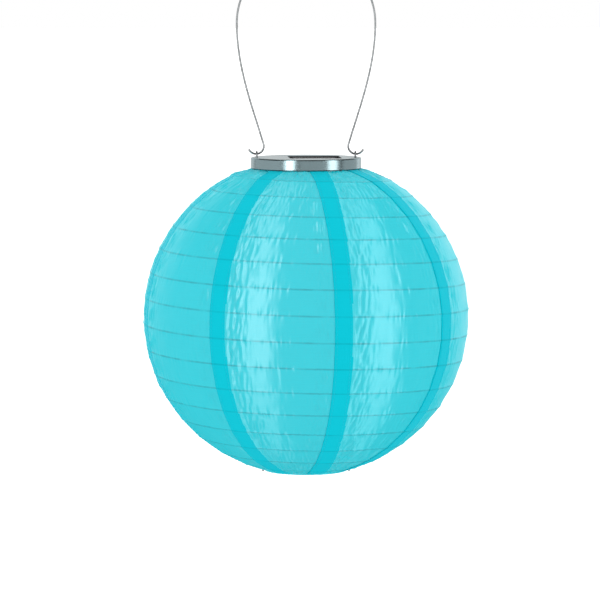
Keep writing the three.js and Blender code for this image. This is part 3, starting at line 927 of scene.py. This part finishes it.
    def stitch_tree(self) -> Tree:
        """Builds two rows of stitches down every seam."""
        tree = GeometryTree("seam_stitches")
        seams, per_row = tree["Seams"], tree["Stitches per Row"]
        number = tree.index()
        row = tree.math("FLOOR", (number + 0.5) / per_row)
        along = number - row * per_row
        seam = tree.math("FLOOR", (row + 0.5) / 2.0)
        side = (row - seam * 2.0) * 2.0 - 1.0
        turn = tree["First Turn"] + (along + 0.5) / per_row * tree["Turns"]
        middle = tree["First Seam"] + seam * TURN / seams
        azimuth = middle + side * tree["Row Offset"] / self.on_cloth(tree, middle, turn)["Reach"]
        place = self.on_cloth(tree, azimuth, turn, tree["Lift"])
        ahead = self.on_cloth(tree, azimuth, turn + 0.04, tree["Lift"])
        ends = {0: ahead["Position"], 1: place["Position"]}
        way = tree.get("ShaderNodeVectorMath", ends, operation="SUBTRACT")
        inside = tree.math("LESS_THAN", place["Latitude"], tree["Top"])
        inside = inside * tree.math("LESS_THAN", tree["Bottom"], place["Latitude"])
        thread = tree["Thread Radius"]
        stitches = tree.copies(
            tree.placed(tree.points(seams * 2.0 * per_row), place["Position"]),
            tree.get("GeometryNodeMeshUVSphere", {"Segments": 6, "Rings": 4, "Radius": 1.0}),
            Selection=inside,
            Rotation=tree.get("FunctionNodeAlignRotationToVector", {"Vector": way}, axis="Z"),
            Scale=tree.vector(thread, thread, tree["Stitch Length"] / 2.0),
        )
        return tree.finish(stitches)

    def hem_tree(self) -> Tree:
        """Builds a gathered sleeve of cloth around a ring, in equal stretches with gaps between."""
        tree = GeometryTree("hem")
        steps, stretches, gap, ring = (tree[n] for n in ("Steps", "Stretches", "Gap", "Ring Radius"))
        azimuth = gap / 2.0 + (TURN / stretches - gap) * tree.index() / steps
        place = tree.vector(ring * tree.cos(azimuth), ring * tree.sin(azimuth), tree["Height"])
        line = tree.placed(tree.points(steps + 1.0), place)
        sleeve = tree.tube(line, tree["Sleeve Radius"], tree["Sides"])
        position = tree.get("GeometryNodeInputPosition")
        fold = 1.0 / tree["Gather Width"]
        push = {
            0: tree.get("GeometryNodeInputNormal"),
            "Scale": (tree.noise(position, fold, 1.0) - 0.5) * tree["Gathers"] * 2.0,
        }
        offset = tree.get("ShaderNodeVectorMath", push, operation="SCALE")
        folded = tree.get("GeometryNodeSetPosition", {"Geometry": sleeve, "Offset": offset})
        x, y, z = tree.split(position)
        around = tree.math("ARCTAN2", y, x) * ring + 1.0
        measured = tree.stored(folded, across=around, along=z, wire=z * 0.0 + 1.0)
        spots = tree.get("GeometryNodeMeshLine", {"Count": stretches, "Offset": (0.0, 0.0, 0.0)})
        turns = tree.vector(0.0, 0.0, tree.index() * TURN / stretches)
        return tree.finish(tree.copies(spots, measured, Rotation=turns))

    def first_turn(self, azimuth: float) -> int:
        """The turn of the spiral that lies just below the hem at an azimuth in degrees."""
        front = self.front_latitude - self.pitch * (azimuth - self.front_meridian) / 360
        return math.floor((self.bottom - front) / self.pitch) - 1

    def build_gores(self) -> list[Piece]:
        """Builds the eight gores."""
        tree = self.gore_tree()
        angle = 360 / self.gores
        gores = []
        for i in range(self.gores):
            seam = self.first_seam + angle * i
            cloth = grown(
                f"cloth_gore_{i + 1}",
                tree,
                Columns=self.columns,
                Turns=self.turns,
                Rows_per_Turn=self.rows_per_turn,
                First_Turn=self.first_turn(seam),
                Seam_Azimuth=radians(seam),
                Gore_Angle=radians(angle),
                Seam_Width=self.seam_width,
                Globe_Radius=self.radius,
                Row_Gathering=self.row_gathering,
                Outer_Lift=self.outer_lift,
                Inner_Lift=self.inner_lift,
                Gathers=self.gathers,
                Puckers=self.puckers,
                Slack=self.slack,
                Seam_Ripple=self.seam_ripple,
                Seed=10.0 + 7.0 * i,
                Material=Finish.SHADE_NYLON.material,
                Seam_Material=Finish.SEAM_NYLON.material,
            )
            gores.append(finished(walled(cloth, self.cloth), Finish.SHADE_NYLON, "lantern", f"gore_{i + 1}"))
        return gores

    def turned_from_front(self, latitude: float) -> float:
        """The azimuth, in radians, at which the spiral is at a latitude in degrees."""
        turns = (self.front_latitude - latitude) / self.pitch
        return radians(self.front_meridian) + TURN * turns

    def build(self) -> None:
        """Builds the cloth, the spiral wire, the seams' stitches and the two hems."""
        self.surface = self.surface_tree()
        gores = self.build_gores()
        spiral = grown(
            "spring_spiral",
            self.spiral_tree(),
            Steps=round((self.spiral_top - self.spiral_bottom) / self.pitch * 64),
            Start=self.turned_from_front(self.spiral_top),
            End=self.turned_from_front(self.spiral_bottom),
            Depth=self.bead + self.cloth + self.spiral_wire + 0.0001,
            Wire_Radius=self.spiral_wire,
            Sides=6,
            Material=Finish.WIRE_STEEL.material,
        )
        finished(spiral, Finish.WIRE_STEEL, "lantern", "spiral_wire")
        band = radians(self.pitch) * self.radius
        stitches = grown(
            "seam_stitches",
            self.stitch_tree(),
            Seams=self.gores,
            Stitches_per_Row=round(self.turns * band / self.stitch_pitch),
            First_Turn=self.first_turn(self.first_seam),
            Turns=self.turns + 1,
            First_Seam=radians(self.first_seam),
            Row_Offset=self.seam_width / 2 - self.stitch_inset,
            Lift=self.outer_lift + 0.00005,
            Thread_Radius=self.thread,
            Stitch_Length=self.stitch_length,
            Top=radians(self.top - 1.0),
            Bottom=radians(self.bottom + 1.0),
            Material=Finish.THREAD.material,
        )
        finished(stitches, Finish.THREAD, "lantern")

        hem = self.hem_tree()
        ring, height, wire = ring_size()
        common = {"Steps": 260, "Sides": 12, "Stretches": 2, "Gather_Width": 0.0022}
        common["Material"] = Finish.SHADE_NYLON.material
        bottom_hem = grown(
            "bottom_hem",
            hem,
            Gap=radians(2 * self.hem_gap),
            Ring_Radius=ring,
            Height=height,
            Sleeve_Radius=wire + self.cloth + 0.0002,
            Gathers=0.00022,
            **common,
        )
        finished(bottom_hem, Finish.SHADE_NYLON, "lantern")
        collar_low, collar_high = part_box("top_collar")
        neck_hem = grown(
            "neck_hem",
            hem,
            Gap=0.0,
            Ring_Radius=collar_high.x - 0.0006,
            Height=collar_low.z - 0.0006,
            Sleeve_Radius=0.0005,
            Gathers=0.00012,
            **common,
        )
        finished(neck_hem, Finish.SHADE_NYLON, "shade_collar")

        travel = next(j for j in frame["joints"] if j["name"] == "shade_fold")["range_m"][1]
        cloth_top = max(v.co.z for v in gores[0].data.vertices)
        keep = 1 - travel / (cloth_top - height)
        for piece in (*gores, spiral, stitches):
            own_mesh(piece)

        angle, rise = TURN / self.gores, radians(self.top - self.bottom)
        flat = (angle * self.radius + self.seam_width, rise * self.radius)
        for gore in gores:
            extra = [stitches, bottom_hem, neck_hem] if gore is gores[0] else []
            self.gore_area()

    def gore_area(self) -> float:
        """The flat area of one gore with its seam laps, in square metres."""
        steps = 60
        low, high = radians(self.bottom), radians(self.top)
        step = (high - low) / steps
        mean = sum(math.cos(low + (i + 0.5) * step) for i in range(steps)) / steps
        breadth = TURN / self.gores * self.radius * mean + self.seam_width
        return breadth * (high - low) * self.radius


# ---- Wires ------------------------------------------------------------------------------------


@dataclass
class WireFrame:
    """The handle, the two support wires and the ring in the shade's mouth.

    Lengths are in metres, with heights from the lid's top.
    """

    arch_radius: float = 0.0537
    arch_centre: float = 0.104
    pivot_height: float = 0.0025
    handle_wire: float = 0.00075
    hook_radius: float = 0.00605
    hook_x: float = 0.03885
    hook_tip: float = -23.0
    hook_end: float = -196.7
    leg_start_pull: float = 0.0313
    leg_end_pull: float = 0.034
    support_wire: float = 0.0007
    eye_x: float = 0.0383
    eye_radius: float = 0.0022
    leg_x: float = 0.0363
    foot_x: float = 0.0254
    foot_bend: float = 0.0019
    saddle: float = 0.00225
    gap: float = 0.0003
    lid_above_centre: float = 0.124

    @cached_property
    def lid_top(self) -> float:
        """The height of the lid's top, from the frame."""
        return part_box("lid_shell")[1].z

    def wire_tree(self) -> Tree:
        """Builds a round wire along a route of joined points."""
        tree = GeometryTree("bent_wire")
        return tree.finish(tree.tube(tree.input("Route", Mesh), tree["Wire Radius"], tree["Sides"]))

    def handle_route(self) -> list[Vector]:
        """The handle's route, from one hook's tip over the arch to the other's."""
        hook_centre = Vector((self.hook_x, 0, self.pivot_height + self.hook_radius))
        hook = arc(hook_centre, self.hook_radius, self.hook_tip, self.hook_end, 36)
        away = radians(self.hook_end)
        start, end = hook[-1], Vector((self.arch_radius, 0, self.arch_centre))
        leave = start + Vector((math.sin(away), 0, -math.cos(away))) * self.leg_start_pull
        arrive = end - Vector((0, 0, self.leg_end_pull))
        right = hook + bezier(start, leave, arrive, end, 40)[1:]
        arch = arc(Vector((0, 0, self.arch_centre)), self.arch_radius, 0, 180, 96)[1:-1]
        left = [Vector((-p.x, 0, p.z)) for p in reversed(right)]
        return right + arch + left

    def support_route(self) -> list[Vector]:
        """One support wire's route, from behind its eye down to its foot on the bottom ring."""
        _, ring_height, ring_wire = ring_size()
        ring = ring_height - self.lid_top
        centre = -self.lid_above_centre
        eye_top = self.pivot_height + self.handle_wire + self.gap + self.support_wire
        eye = arc(Vector((self.eye_x, 0, eye_top - self.eye_radius)), self.eye_radius, 180, 0, 20, 1, 2)
        bend_x = self.foot_x + self.foot_bend
        bend = arc(Vector((bend_x, 0, ring - 0.0002)), self.foot_bend, 180, 360, 16)
        saddle_top = ring_wire + self.gap + self.support_wire
        saddle_x = bend_x + self.foot_bend + self.saddle
        saddle = arc(Vector((saddle_x, 0, ring + saddle_top - self.saddle)), self.saddle, 180, 0, 16)
        upper = [
            (self.eye_x, -self.eye_radius - 0.0032, -0.0029),
            (self.eye_x, -self.eye_radius - 0.0014, -0.0026),
            (self.eye_x, -self.eye_radius, -0.0013),
        ]
        lower = [
            (self.eye_x, self.eye_radius, -0.0013),
            (self.eye_x - 0.0005, 0.8 * self.eye_radius, -0.0034),
            (self.leg_x + 0.0004, 0.25 * self.eye_radius, -0.0068),
            *((self.leg_x, 0, z) for z in (-0.010, -0.060, centre, centre - 0.086)),
            (self.leg_x - 0.001, 0, centre - 0.093),
            (self.foot_x + 0.0034, 0, centre - 0.103),
            (self.foot_x + 0.0004, 0, centre - 0.110),
            (self.foot_x, 0, centre - 0.115),
        ]
        end = Vector((saddle_x + self.saddle, 0, ring - 0.0022))
        top, leg = eased([*upper, eye[0]]), eased([eye[-1], *lower, bend[0]])
        return top + eye[1:-1] + leg + bend[1:] + saddle + [end]

    def build(self) -> None:
        """Builds the wires."""
        tree = self.wire_tree()

        def wire(name: str, route: Sequence[Vector], radius: float, body: str, node: str) -> None:
            mesh = bpy.data.meshes.new(f"{name}_route")
            links = [(i, i + 1) for i in range(len(route) - 1)]
            closed = node == "bottom_ring"
            mesh.from_pydata(route, links + [(len(route) - 1, 0)] * closed, [])
            steel = Finish.WIRE_STEEL
            made = grown(name, tree, mesh, Wire_Radius=radius, Sides=16, Material=steel.material)
            finished(made, steel, body, node)

        up = Vector((0, 0, self.lid_top))
        wire("handle", [p + up for p in self.handle_route()], self.handle_wire, "handle", "handle_wire")
        right = [p + up for p in self.support_route()]
        for side, sign in (("right", 1), ("left", -1)):
            route = [Vector((p.x * sign, p.y * sign, p.z)) for p in right]
            wire(f"support_{side}", route, self.support_wire, "lantern", f"support_wire_{side}")
        radius, height, ring_wire = ring_size()
        ring = arc(Vector((0, 0, height)), radius, 0, 360, 120, 0, 1)[:-1]
        wire("mouth_ring", ring, ring_wire, "lantern", "bottom_ring")


def ring_size() -> tuple[float, float, float]:
    """The bottom ring's radius, height and wire radius, from the frame."""
    low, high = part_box("bottom_ring")
    wire = (high.z - low.z) / 2
    return high.x - wire, (low.z + high.z) / 2, wire


def bezier(start: Vector, leave: Vector, arrive: Vector, end: Vector, steps: int) -> list[Vector]:
    """Points on a cubic curve from start to end."""
    points = []
    for i in range(steps + 1):
        t = i / steps
        s = 1 - t
        points.append(start * s**3 + leave * 3 * s * s * t + arrive * 3 * s * t * t + end * t**3)
    return points


def eased(places: Sequence[Sequence[float]], steps: int = 6) -> list[Vector]:
    """A smooth route through places, with short steps between them."""
    points = [Vector(place) for place in places]
    route = []
    padded = [points[0] * 2 - points[1], *points, points[-1] * 2 - points[-2]]
    for before, a, b, after in zip(padded, padded[1:], padded[2:], padded[3:]):
        reach = (b - a).length
        out = (b - before).normalized() * reach / 3
        back = (after - a).normalized() * reach / 3
        route += bezier(a, a + out, b - back, b, steps)[:-1]
    return route + [points[-1]]


# ---- Lid --------------------------------------------------------------------------------------


@dataclass
class Lid:
    """The metal lid, with a solar panel in a pocket of its top.

    Lengths are in metres, with heights from the lid's top, and angles in degrees.
    """

    eye_x: float
    wall: float = 0.0008
    plate: float = 0.001
    edge_radius: float = 0.0012
    panel_turn: float = 4.0
    panel_side: float = 0.0374
    panel_shift: float = 0.007
    recess: float = 0.0012
    lip_rise: float = 0.001
    pocket_side: float = 0.0406
    pocket_depth: float = 0.0034
    pocket_wall: float = 0.0015
    pocket_floor: float = 0.0009
    slot: tuple[float, float] = (0.0022, 0.0066)
    sides: int = 160
    strips: int = 6
    fingers: int = 22

    @cached_property
    def box(self) -> tuple[Vector, Vector]:
        """The lid's corners, from the frame."""
        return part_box("lid_shell")

    def squares(self, *outlines: tuple[float, float, float]) -> list[list[Vector]]:
        """Rounded square outlines of the pocket, each with its points at even directions.

        Args:
            outlines: Each outline's side, corner radius and height.

        Returns:
            Each outline's points.
        """
        turn = radians(self.panel_turn)
        rings = []
        for side, corner, z in outlines:
            half, inner = side / 2, side / 2 - corner
            rings.append([])
            for i in range(self.sides):
                angle = TURN * i / self.sides
                c, s = abs(math.cos(angle - turn)), abs(math.sin(angle - turn))
                reach = half / max(c, s)
                if min(c, s) * reach > inner:
                    along = (c + s) * inner
                    reach = along + math.sqrt(max(along**2 - 2 * inner**2 + corner**2, 0))
                x, y = self.panel_shift + reach * math.cos(angle), reach * math.sin(angle)
                rings[-1].append(Vector((x, y, self.box[1].z + z)))
        return rings

    def shell(self) -> Piece:
        """Builds the lid: skirt, rounded edge, flat top, pocket and the two slots for the eyes."""
        radius, height = self.box[1].x, self.box[1].z - self.box[0].z
        inner, lip, edge = radius - self.wall, self.wall / 2, self.edge_radius
        skirt = [
            (inner, -self.plate),
            (inner, lip / 2 - height),
            (inner + lip / 2, -height),
            (radius - lip / 2, -height),
            (radius, lip / 2 - height),
            (radius, -edge - 0.0004),
            *rounded((radius, 0), (radius, -edge), (radius - edge, 0), edge, 8),
            (radius - edge - 0.0008, 0.0),
        ]
        pocket, wall = self.pocket_side, self.pocket_side + 2 * self.pocket_wall
        bottom = -self.pocket_depth - self.pocket_floor
        under = self.squares(
            (wall - 0.0006, 0.0028, bottom), (wall, 0.003, bottom + 0.0003), (wall, 0.003, -self.plate)
        )
        inside = self.squares(
            (pocket + 0.0012, 0.0031, 0.0),
            (pocket + 0.0005, 0.0028, -0.0001),
            (pocket, 0.0025, -0.0005),
            (pocket, 0.0025, 0.0003 - self.pocket_depth),
            (pocket - 0.0006, 0.0022, -self.pocket_depth),
        )
        rings = under + turned(skirt, self.box[1].z, self.sides) + inside
        lid = mesh_piece("lid", swept(rings), Finish.LID_METAL.material)
        cutters = [self.slot_cutter(sign * self.eye_x, *self.slot) for sign in (1, -1)]
        return smoothed(cut(lid, *cutters), 30.0)

    def slot_cutter(self, x: float, width: float, length: float) -> Piece:
        """Builds the round-ended block that cuts one slot."""
        top = self.box[1].z
        straight = (length - width) / 2
        outline = arc(Vector((x, straight, top)), width / 2, 0, 180, 8, 0, 1)
        outline += arc(Vector((x, -straight, top)), width / 2, 180, 360, 8, 0, 1)
        rings = [[p + Vector((0, 0, z)) for p in outline] for z in (-2 * self.plate, self.plate)]
        return mesh_piece("slot_cutter", swept(rings), Finish.LID_METAL.material)

    def panel(self) -> Piece:
        """Builds the resin-covered panel."""
        low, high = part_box("solar_panel")
        bottom = -self.recess - (high.z - low.z)
        side = self.panel_side
        rings = self.squares(
            (side - 0.0002, 0.0007, bottom),
            (side, 0.0008, bottom + 0.0001),
            (side, 0.0008, -self.recess - 0.0004),
            (side - 0.0002, 0.0008, -self.recess - 0.0001),
            (side - 0.0007, 0.0006, -self.recess),
            (side - 0.0016, 0.0005, -self.recess),
        )
        return smoothed(mesh_piece("panel", swept(rings), Finish.SOLAR_CELL.material), 30.0)

    def seal(self) -> Piece:
        """Builds the soft gasket around the panel, whose lip stands up against the pocket's wall."""
        inner, outer = self.panel_side + 0.0006, self.panel_side + 0.0026
        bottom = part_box("panel_seal")[0].z - self.box[1].z
        lip = self.lip_rise - self.recess
        rings = self.squares(
            (inner, 0.001, bottom),
            (outer, 0.002, bottom),
            (outer, 0.002, lip - 0.0002),
            (outer - 0.0003, 0.0018, lip),
            (outer - 0.0008, 0.0016, lip - 0.0002),
            (outer - 0.0011, 0.0014, -self.recess),
            (inner + 0.0006, 0.0012, -self.recess),
            (inner, 0.001, -self.recess - 0.0003),
        )
        return smoothed(mesh_piece("seal", swept(rings, closed=True), Finish.SEAL_RUBBER.material), 50.0)

    def build(self) -> None:
        """Builds the lid, its panel, the cells' strips and fingers, and the seal."""
        finished(self.shell(), Finish.LID_METAL, "lantern", "lid_shell")
        finished(self.panel(), Finish.SOLAR_CELL, "lantern", "solar_panel")
        finished(self.seal(), Finish.SEAL_RUBBER, "lantern", "panel_seal")
        span = self.panel_side - 0.004
        cell = span / self.strips
        finger = (self.panel_side - 0.006) / self.fingers
        middle = Vector((self.panel_shift, 0, self.box[1].z - self.recess))
        place = {"finish": Finish.CELL_SILVER, "body": "lantern", "middle": middle, "turn": self.panel_turn}
        bars("cell_busbars", (1, self.strips + 1), (0, cell), (span, 0.0006, 0.00008), **place)
        comb = (0.00012, cell - 0.001, 0.00005)
        bars("cell_fingers", (self.fingers, self.strips), (finger, cell), comb, **place)


@cache
def bars_tree() -> Tree:
    """Builds rows of equal bars, centred on a point."""
    tree = GeometryTree("rows_of_bars")
    columns, rows = tree["Count X"], tree["Count Y"]
    row = tree.math("FLOOR", (tree.index() + 0.5) / columns)
    column = tree.index() - row * columns
    place = tree.vector(
        (column - (columns - 1.0) / 2.0) * tree["Pitch X"], (row - (rows - 1.0) / 2.0) * tree["Pitch Y"]
    )
    bar = tree.get("GeometryNodeMeshCube", {"Size": tree.input("Bar", Vector)})
    copies = tree.copies(tree.placed(tree.points(columns * rows), place), bar)
    moved = {
        "Geometry": tree.get("GeometryNodeRealizeInstances", {"Geometry": copies}),
        "Translation": tree.input("Middle", Vector),
        "Rotation": tree.vector(0.0, 0.0, tree["Turn"]),
    }
    return tree.finish(tree.get("GeometryNodeTransform", moved), smooth=False)


def bars(
    name: str,
    count: tuple[int, int],
    pitch: tuple[float, float],
    bar: tuple[float, float, float],
    finish: Finish,
    body: str,
    middle: Vector,
    turn: float = 0.0,
) -> None:
    """Builds rows of bars, such as ribs or a cell's fingers, and hands them to the frame.

    Args:
        name: The piece's name.
        count: The number of bars along X and Y.
        pitch: Their pitch along X and Y.
        bar: One bar's size.
        finish: Their finish.
        body: The body that they move with.
        middle: The middle of the rows.
        turn: How far they are turned about Z, in degrees.
    """
    sizes = {"Count_X": count[0], "Count_Y": count[1], "Pitch_X": pitch[0], "Pitch_Y": pitch[1]}
    sizes |= {"Bar": bar, "Middle": middle, "Turn": radians(turn), "Material": finish.material}
    finished(grown(name, bars_tree(), **sizes), finish, body)


# ---- Light module -----------------------------------------------------------------------------


def softening_tree() -> Tree:
    """Builds a tree that joins a frame node's loose triangles and shades them smooth."""
    tree = GeometryTree("joined_and_smooth")
    loose = {"Geometry": tree.input("Geometry", Mesh)}
    loose["Distance"] = tree.input("Distance", start=0.000005)
    merged = tree.get("GeometryNodeMergeByDistance", loose)
    smooth = tree.get("GeometryNodeSetShadeSmooth", {"Geometry": merged, "Shade Smooth": True})
    tree.feed(tree.exit.inputs["Geometry"], smooth)
    return tree.tree


@dataclass
class LightModule:
    """The collar, the light's housing and what is in and on it. Lengths are in metres."""

    edge: float = 0.00022
    thread_pitch: float = 0.0006
    screw_recess: float = 0.0008
    door_ribs: int = 7
    knob_ribs: int = 4

    def dressed(self, node: str, finish: Finish, edge: float) -> None:
        """Gives a frame node its finish, smooth shading and eased edges.

        Args:
            node: The node's name.
            finish: Its finish.
            edge: The width of its eased edges.
        """
        piece = frame["nodes"][node]
        piece.data.materials.clear()
        piece.data.materials.append(finish.material)
        join = piece.modifiers.new("join", "NODES")
        join.node_group = self.softening
        ease = piece.modifiers.new("ease", "BEVEL")
        ease.limit_method = "ANGLE"
        ease.angle_limit = radians(32)
        ease.width = edge
        ease.segments = 2
        ease.harden_normals = True
        LOG.info("%s: frame node in %s", node, finish.value.name)

    def screw(self, name: str, node: str, body: str, arm: float) -> None:
        """Builds a cross-head screw in place of a plain one.

        Args:
            name: The piece's name.
            node: The frame node that it replaces.
            body: The body that it moves with.
            arm: Half the length of the cross.
        """
        low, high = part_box(node)
        middle, radius = (low + high) / 2, (high.x - low.x) / 2
        head, shank = (0.0015, 0.0012) if radius > 0.002 else (0.001, 0.0008)
        root = shank * 0.8
        profile = [(radius * 0.55, 0.0), (radius * 0.86, 0.0001), (radius, 0.00035), (radius, head)]
        profile += [(shank, head)]
        z = head + 0.0003
        while low.z + z + self.thread_pitch < high.z - 0.001:
            profile += [(root, z), (shank, z + self.thread_pitch / 2)]
            z += self.thread_pitch
        profile += [(root, z), (0.0002, high.z - low.z)]
        offset = Vector((middle.x, middle.y, 0))
        rings = [[p + offset for p in ring] for ring in turned(profile, low.z, 24)]
        made = mesh_piece(name, swept(rings), Finish.WIRE_STEEL.material)

        def cross(cutter: bmesh.types.BMesh) -> None:
            size = Matrix.Diagonal((2 * arm, arm * 0.42, 2 * self.screw_recess, 1))
            for turn in (0, 90):
                placed = Matrix.Translation((middle.x, middle.y, low.z))
                placed = placed @ Matrix.Rotation(radians(turn), 4, "Z")
                bmesh.ops.create_cube(cutter, size=1.0, matrix=placed @ size)

        cutter = mesh_piece("cross_cutter", cross, Finish.WIRE_STEEL.material)
        finished(smoothed(cut(made, cutter, use_self=True), 40.0), Finish.WIRE_STEEL, body, node)

    def battery(self) -> None:
        """Builds the cell: a wrapped can, with bare metal ends."""
        low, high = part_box("battery")
        axis_z, radius, length = (low.z + high.z) / 2, (high.z - low.z) / 2, high.x - low.x
        shoulder = length - 0.001
        wrap = [(radius - 0.0012, 0.0002), (radius - 0.0003, 0.0), (radius, 0.0004)]
        wrap += [(radius, shoulder - 0.0006), (radius - 0.0003, shoulder)]
        wrap += [(radius - 0.0022, shoulder - 0.0001)]
        ends = [(0.0001, 0.0001), (radius - 0.0012, 0.00015), (radius - 0.0012, shoulder - 0.0002)]
        ends += [(0.0031, shoulder - 0.0002), (0.0028, shoulder), (0.0027, length - 0.0002)]
        ends += [(0.0024, length), (0.0001, length)]
        lie = Matrix.Translation((low.x, 0, axis_z)) @ Matrix.Rotation(radians(90), 4, "Y")
        for name, profile, finish, replaced in (
            ("cell_wrap", wrap, Finish.BATTERY_WRAP, ["battery"]),
            ("cell_can", ends, Finish.CONTACT_METAL, []),
        ):
            rings = [[lie @ p for p in ring] for ring in turned(profile, 0.0, 64)]
            piece = mesh_piece(name, swept(rings), finish.material)
            finished(smoothed(piece, 30.0), finish, "cell", *replaced)

    def build(self) -> None:
        """Dresses the frame's nodes, and adds the screws, the cell and the ribs for fingers."""
        self.softening = softening_tree()
        for finish, edge, *nodes in (
            (Finish.COLLAR_PLASTIC, 0.0003, "top_collar"),
            (Finish.HOUSING_PLASTIC, self.edge, "module_housing", "module_cover", "battery_door"),
            (Finish.DARK_PLASTIC, self.edge, "control_chip", "inductor", "switch_body", "switch_slider"),
            (Finish.LED_LENS, 0.0001, "led_front", "led_rear"),
            (Finish.CONTACT_METAL, 0.00006, "contact_plate_positive", "contact_plate_negative"),
            (Finish.CONTACT_METAL, 0.00006, "contact_spring"),
            (Finish.BOARD, 0.0001, "circuit_board"),
            (Finish.LEAD_RED, 0.0001, "panel_lead_positive"),
            (Finish.LEAD_BLACK, 0.0001, "panel_lead_negative"),
        ):
            for node in nodes:
                self.dressed(node, finish, edge)
        self.screw("housing_screw_left", "housing_screw_1", "lantern", 0.0013)
        self.screw("housing_screw_right", "housing_screw_2", "lantern", 0.0013)
        self.screw("door_thumbscrew", "door_screw", "door", 0.0011)
        self.battery()

        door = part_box("battery_door")[0]
        middle = Vector((door.x + 0.009, 0, door.z))
        rib, plastic = (0.011, 0.0007, 0.0007), Finish.HOUSING_PLASTIC
        bars("door_ribs", (1, self.door_ribs), (0, 0.0016), rib, plastic, "door", middle)
        low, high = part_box("switch_slider")
        middle = Vector(((low.x + high.x) / 2, (low.y + high.y) / 2, low.z))
        rib, plastic = (0.00045, 0.0026, 0.0005), Finish.DARK_PLASTIC
        bars("knob_ribs", (self.knob_ribs, 1), (0.0009, 0), rib, plastic, "switch_knob", middle)


# ---- Studio -----------------------------------------------------------------------------------


@dataclass
class Softbox:
    """A soft light that faces the shade's middle and gives only its gloss."""

    name: str
    azimuth: float
    elevation: float
    width: float
    height: float
    radiance: float
    distance: float = 1.7

    def build(self, target: Vector) -> None:
        """Adds the light, at an azimuth in degrees to the right of the camera."""
        light = bpy.data.lights.new(self.name, "AREA")
        light.shape = "RECTANGLE"
        light.size, light.size_y = self.width, self.height
        light.energy = self.radiance * math.pi * self.width * self.height
        lamp = bpy.data.objects.new(self.name, light)
        bpy.context.scene.collection.objects.link(lamp)
        away = direction(self.azimuth, self.elevation)
        lamp.location = target + away * self.distance
        lamp.rotation_euler = away.to_track_quat("Z", "Y").to_euler()
        lamp.visible_camera = lamp.visible_diffuse = False


def direction(azimuth: float, elevation: float) -> Vector:
    """The way out towards an azimuth to the right of the front and a height, both in degrees."""
    a, e = radians(azimuth), radians(elevation)
    return Vector((math.sin(a) * math.cos(e), -math.cos(a) * math.cos(e), math.sin(e)))


@dataclass
class Studio:
    """A white studio: an even surround, two softboxes, white cards, a pale floor and the camera."""

    elevation: float = 5.0
    distance: float = 3.0
    view_width: float = 0.468
    aim: tuple[float, float] = (-0.0047, 0.0125)
    floor_drop: float = 0.16
    surround: float = 1.12
    floor_glow: float = 0.5
    softboxes: tuple[Softbox, ...] = (
        Softbox("softbox_left", -34.0, 0.0, 0.54, 2.8, 4.6),
        Softbox("softbox_right", 57.0, 0.0, 0.64, 2.8, 3.0),
        Softbox("card_front", 13.0, 2.0, 2.6, 0.8, 0.66, 2.5),
        Softbox("card_left", -92.0, 0.0, 4.2, 1.2, 0.66, 2.5),
        Softbox("card_right", 112.0, 0.0, 3.0, 1.2, 0.62, 2.5),
        Softbox("card_back", 180.0, 14.0, 5.2, 2.4, 0.8, 2.5),
        Softbox("card_above", 0.0, 90.0, 3.0, 3.0, 0.3, 2.5),
    )

    def build(self, middle: Vector) -> None:
        """Builds the studio around the shade's middle.

        Args:
            middle: The middle of the shade.
        """
        scene = bpy.context.scene
        scene.view_settings.view_transform = "Standard"
        scene.world = scene.world or bpy.data.worlds.new("surround")
        scene.world.use_nodes = True
        sky = Graph(scene.world.node_tree)
        seen = sky.value(sky.node("ShaderNodeLightPath"), "Is Camera Ray")
        background = sky.tree.nodes["Background"]
        sky.feed(background.inputs["Color"], (1.0, 1.0, 1.0, 1.0))
        sky.feed(background.inputs["Strength"], seen * (1.0 - self.surround) + self.surround)
        scene.world.cycles_visibility.glossy = False
        for box in self.softboxes:
            box.build(middle)

        camera = bpy.data.cameras.new("camera")
        camera.sensor_width = 36.0
        camera.lens = camera.sensor_width * self.distance / self.view_width
        camera.clip_end = 200.0
        viewer = bpy.data.objects.new("camera", camera)
        scene.collection.objects.link(viewer)
        target = middle + Vector((self.aim[0], 0, self.aim[1]))
        away = direction(0.0, self.elevation)
        viewer.location = target + away * self.distance
        viewer.rotation_euler = away.to_track_quat("Z", "Y").to_euler()
        scene.camera = viewer

        def sheet(made: bmesh.types.BMesh) -> None:
            bmesh.ops.create_grid(made, x_segments=2, y_segments=2, size=30.0)
            bmesh.ops.translate(made, verts=made.verts, vec=(0, 0, CAD_BOX[0][2] - self.floor_drop))

        paper = Moulded("studio_paper", (0.97, 0.97, 0.97), 0.9).made()
        shader = paper.node_tree.nodes["Principled BSDF"]
        shader.inputs["Emission Color"].default_value = (1.0, 1.0, 1.0, 1.0)
        shader.inputs["Emission Strength"].default_value = self.floor_glow
        floor = mesh_piece("studio_floor", sheet, paper)
        floor.visible_diffuse = floor.visible_glossy = False


def main() -> None:
    """Builds the lantern and its studio."""
    logging.basicConfig(level=logging.INFO, format="%(message)s")
    shade, wires = Shade(), WireFrame()
    Studio().build(Vector((0, 0, shade.centre)))
    for part in (shade, wires, Lid(wires.eye_x), LightModule()):
        LOG.info("-- %s", type(part).__name__)
        part.build()


if __name__ == "__main__":
    main()
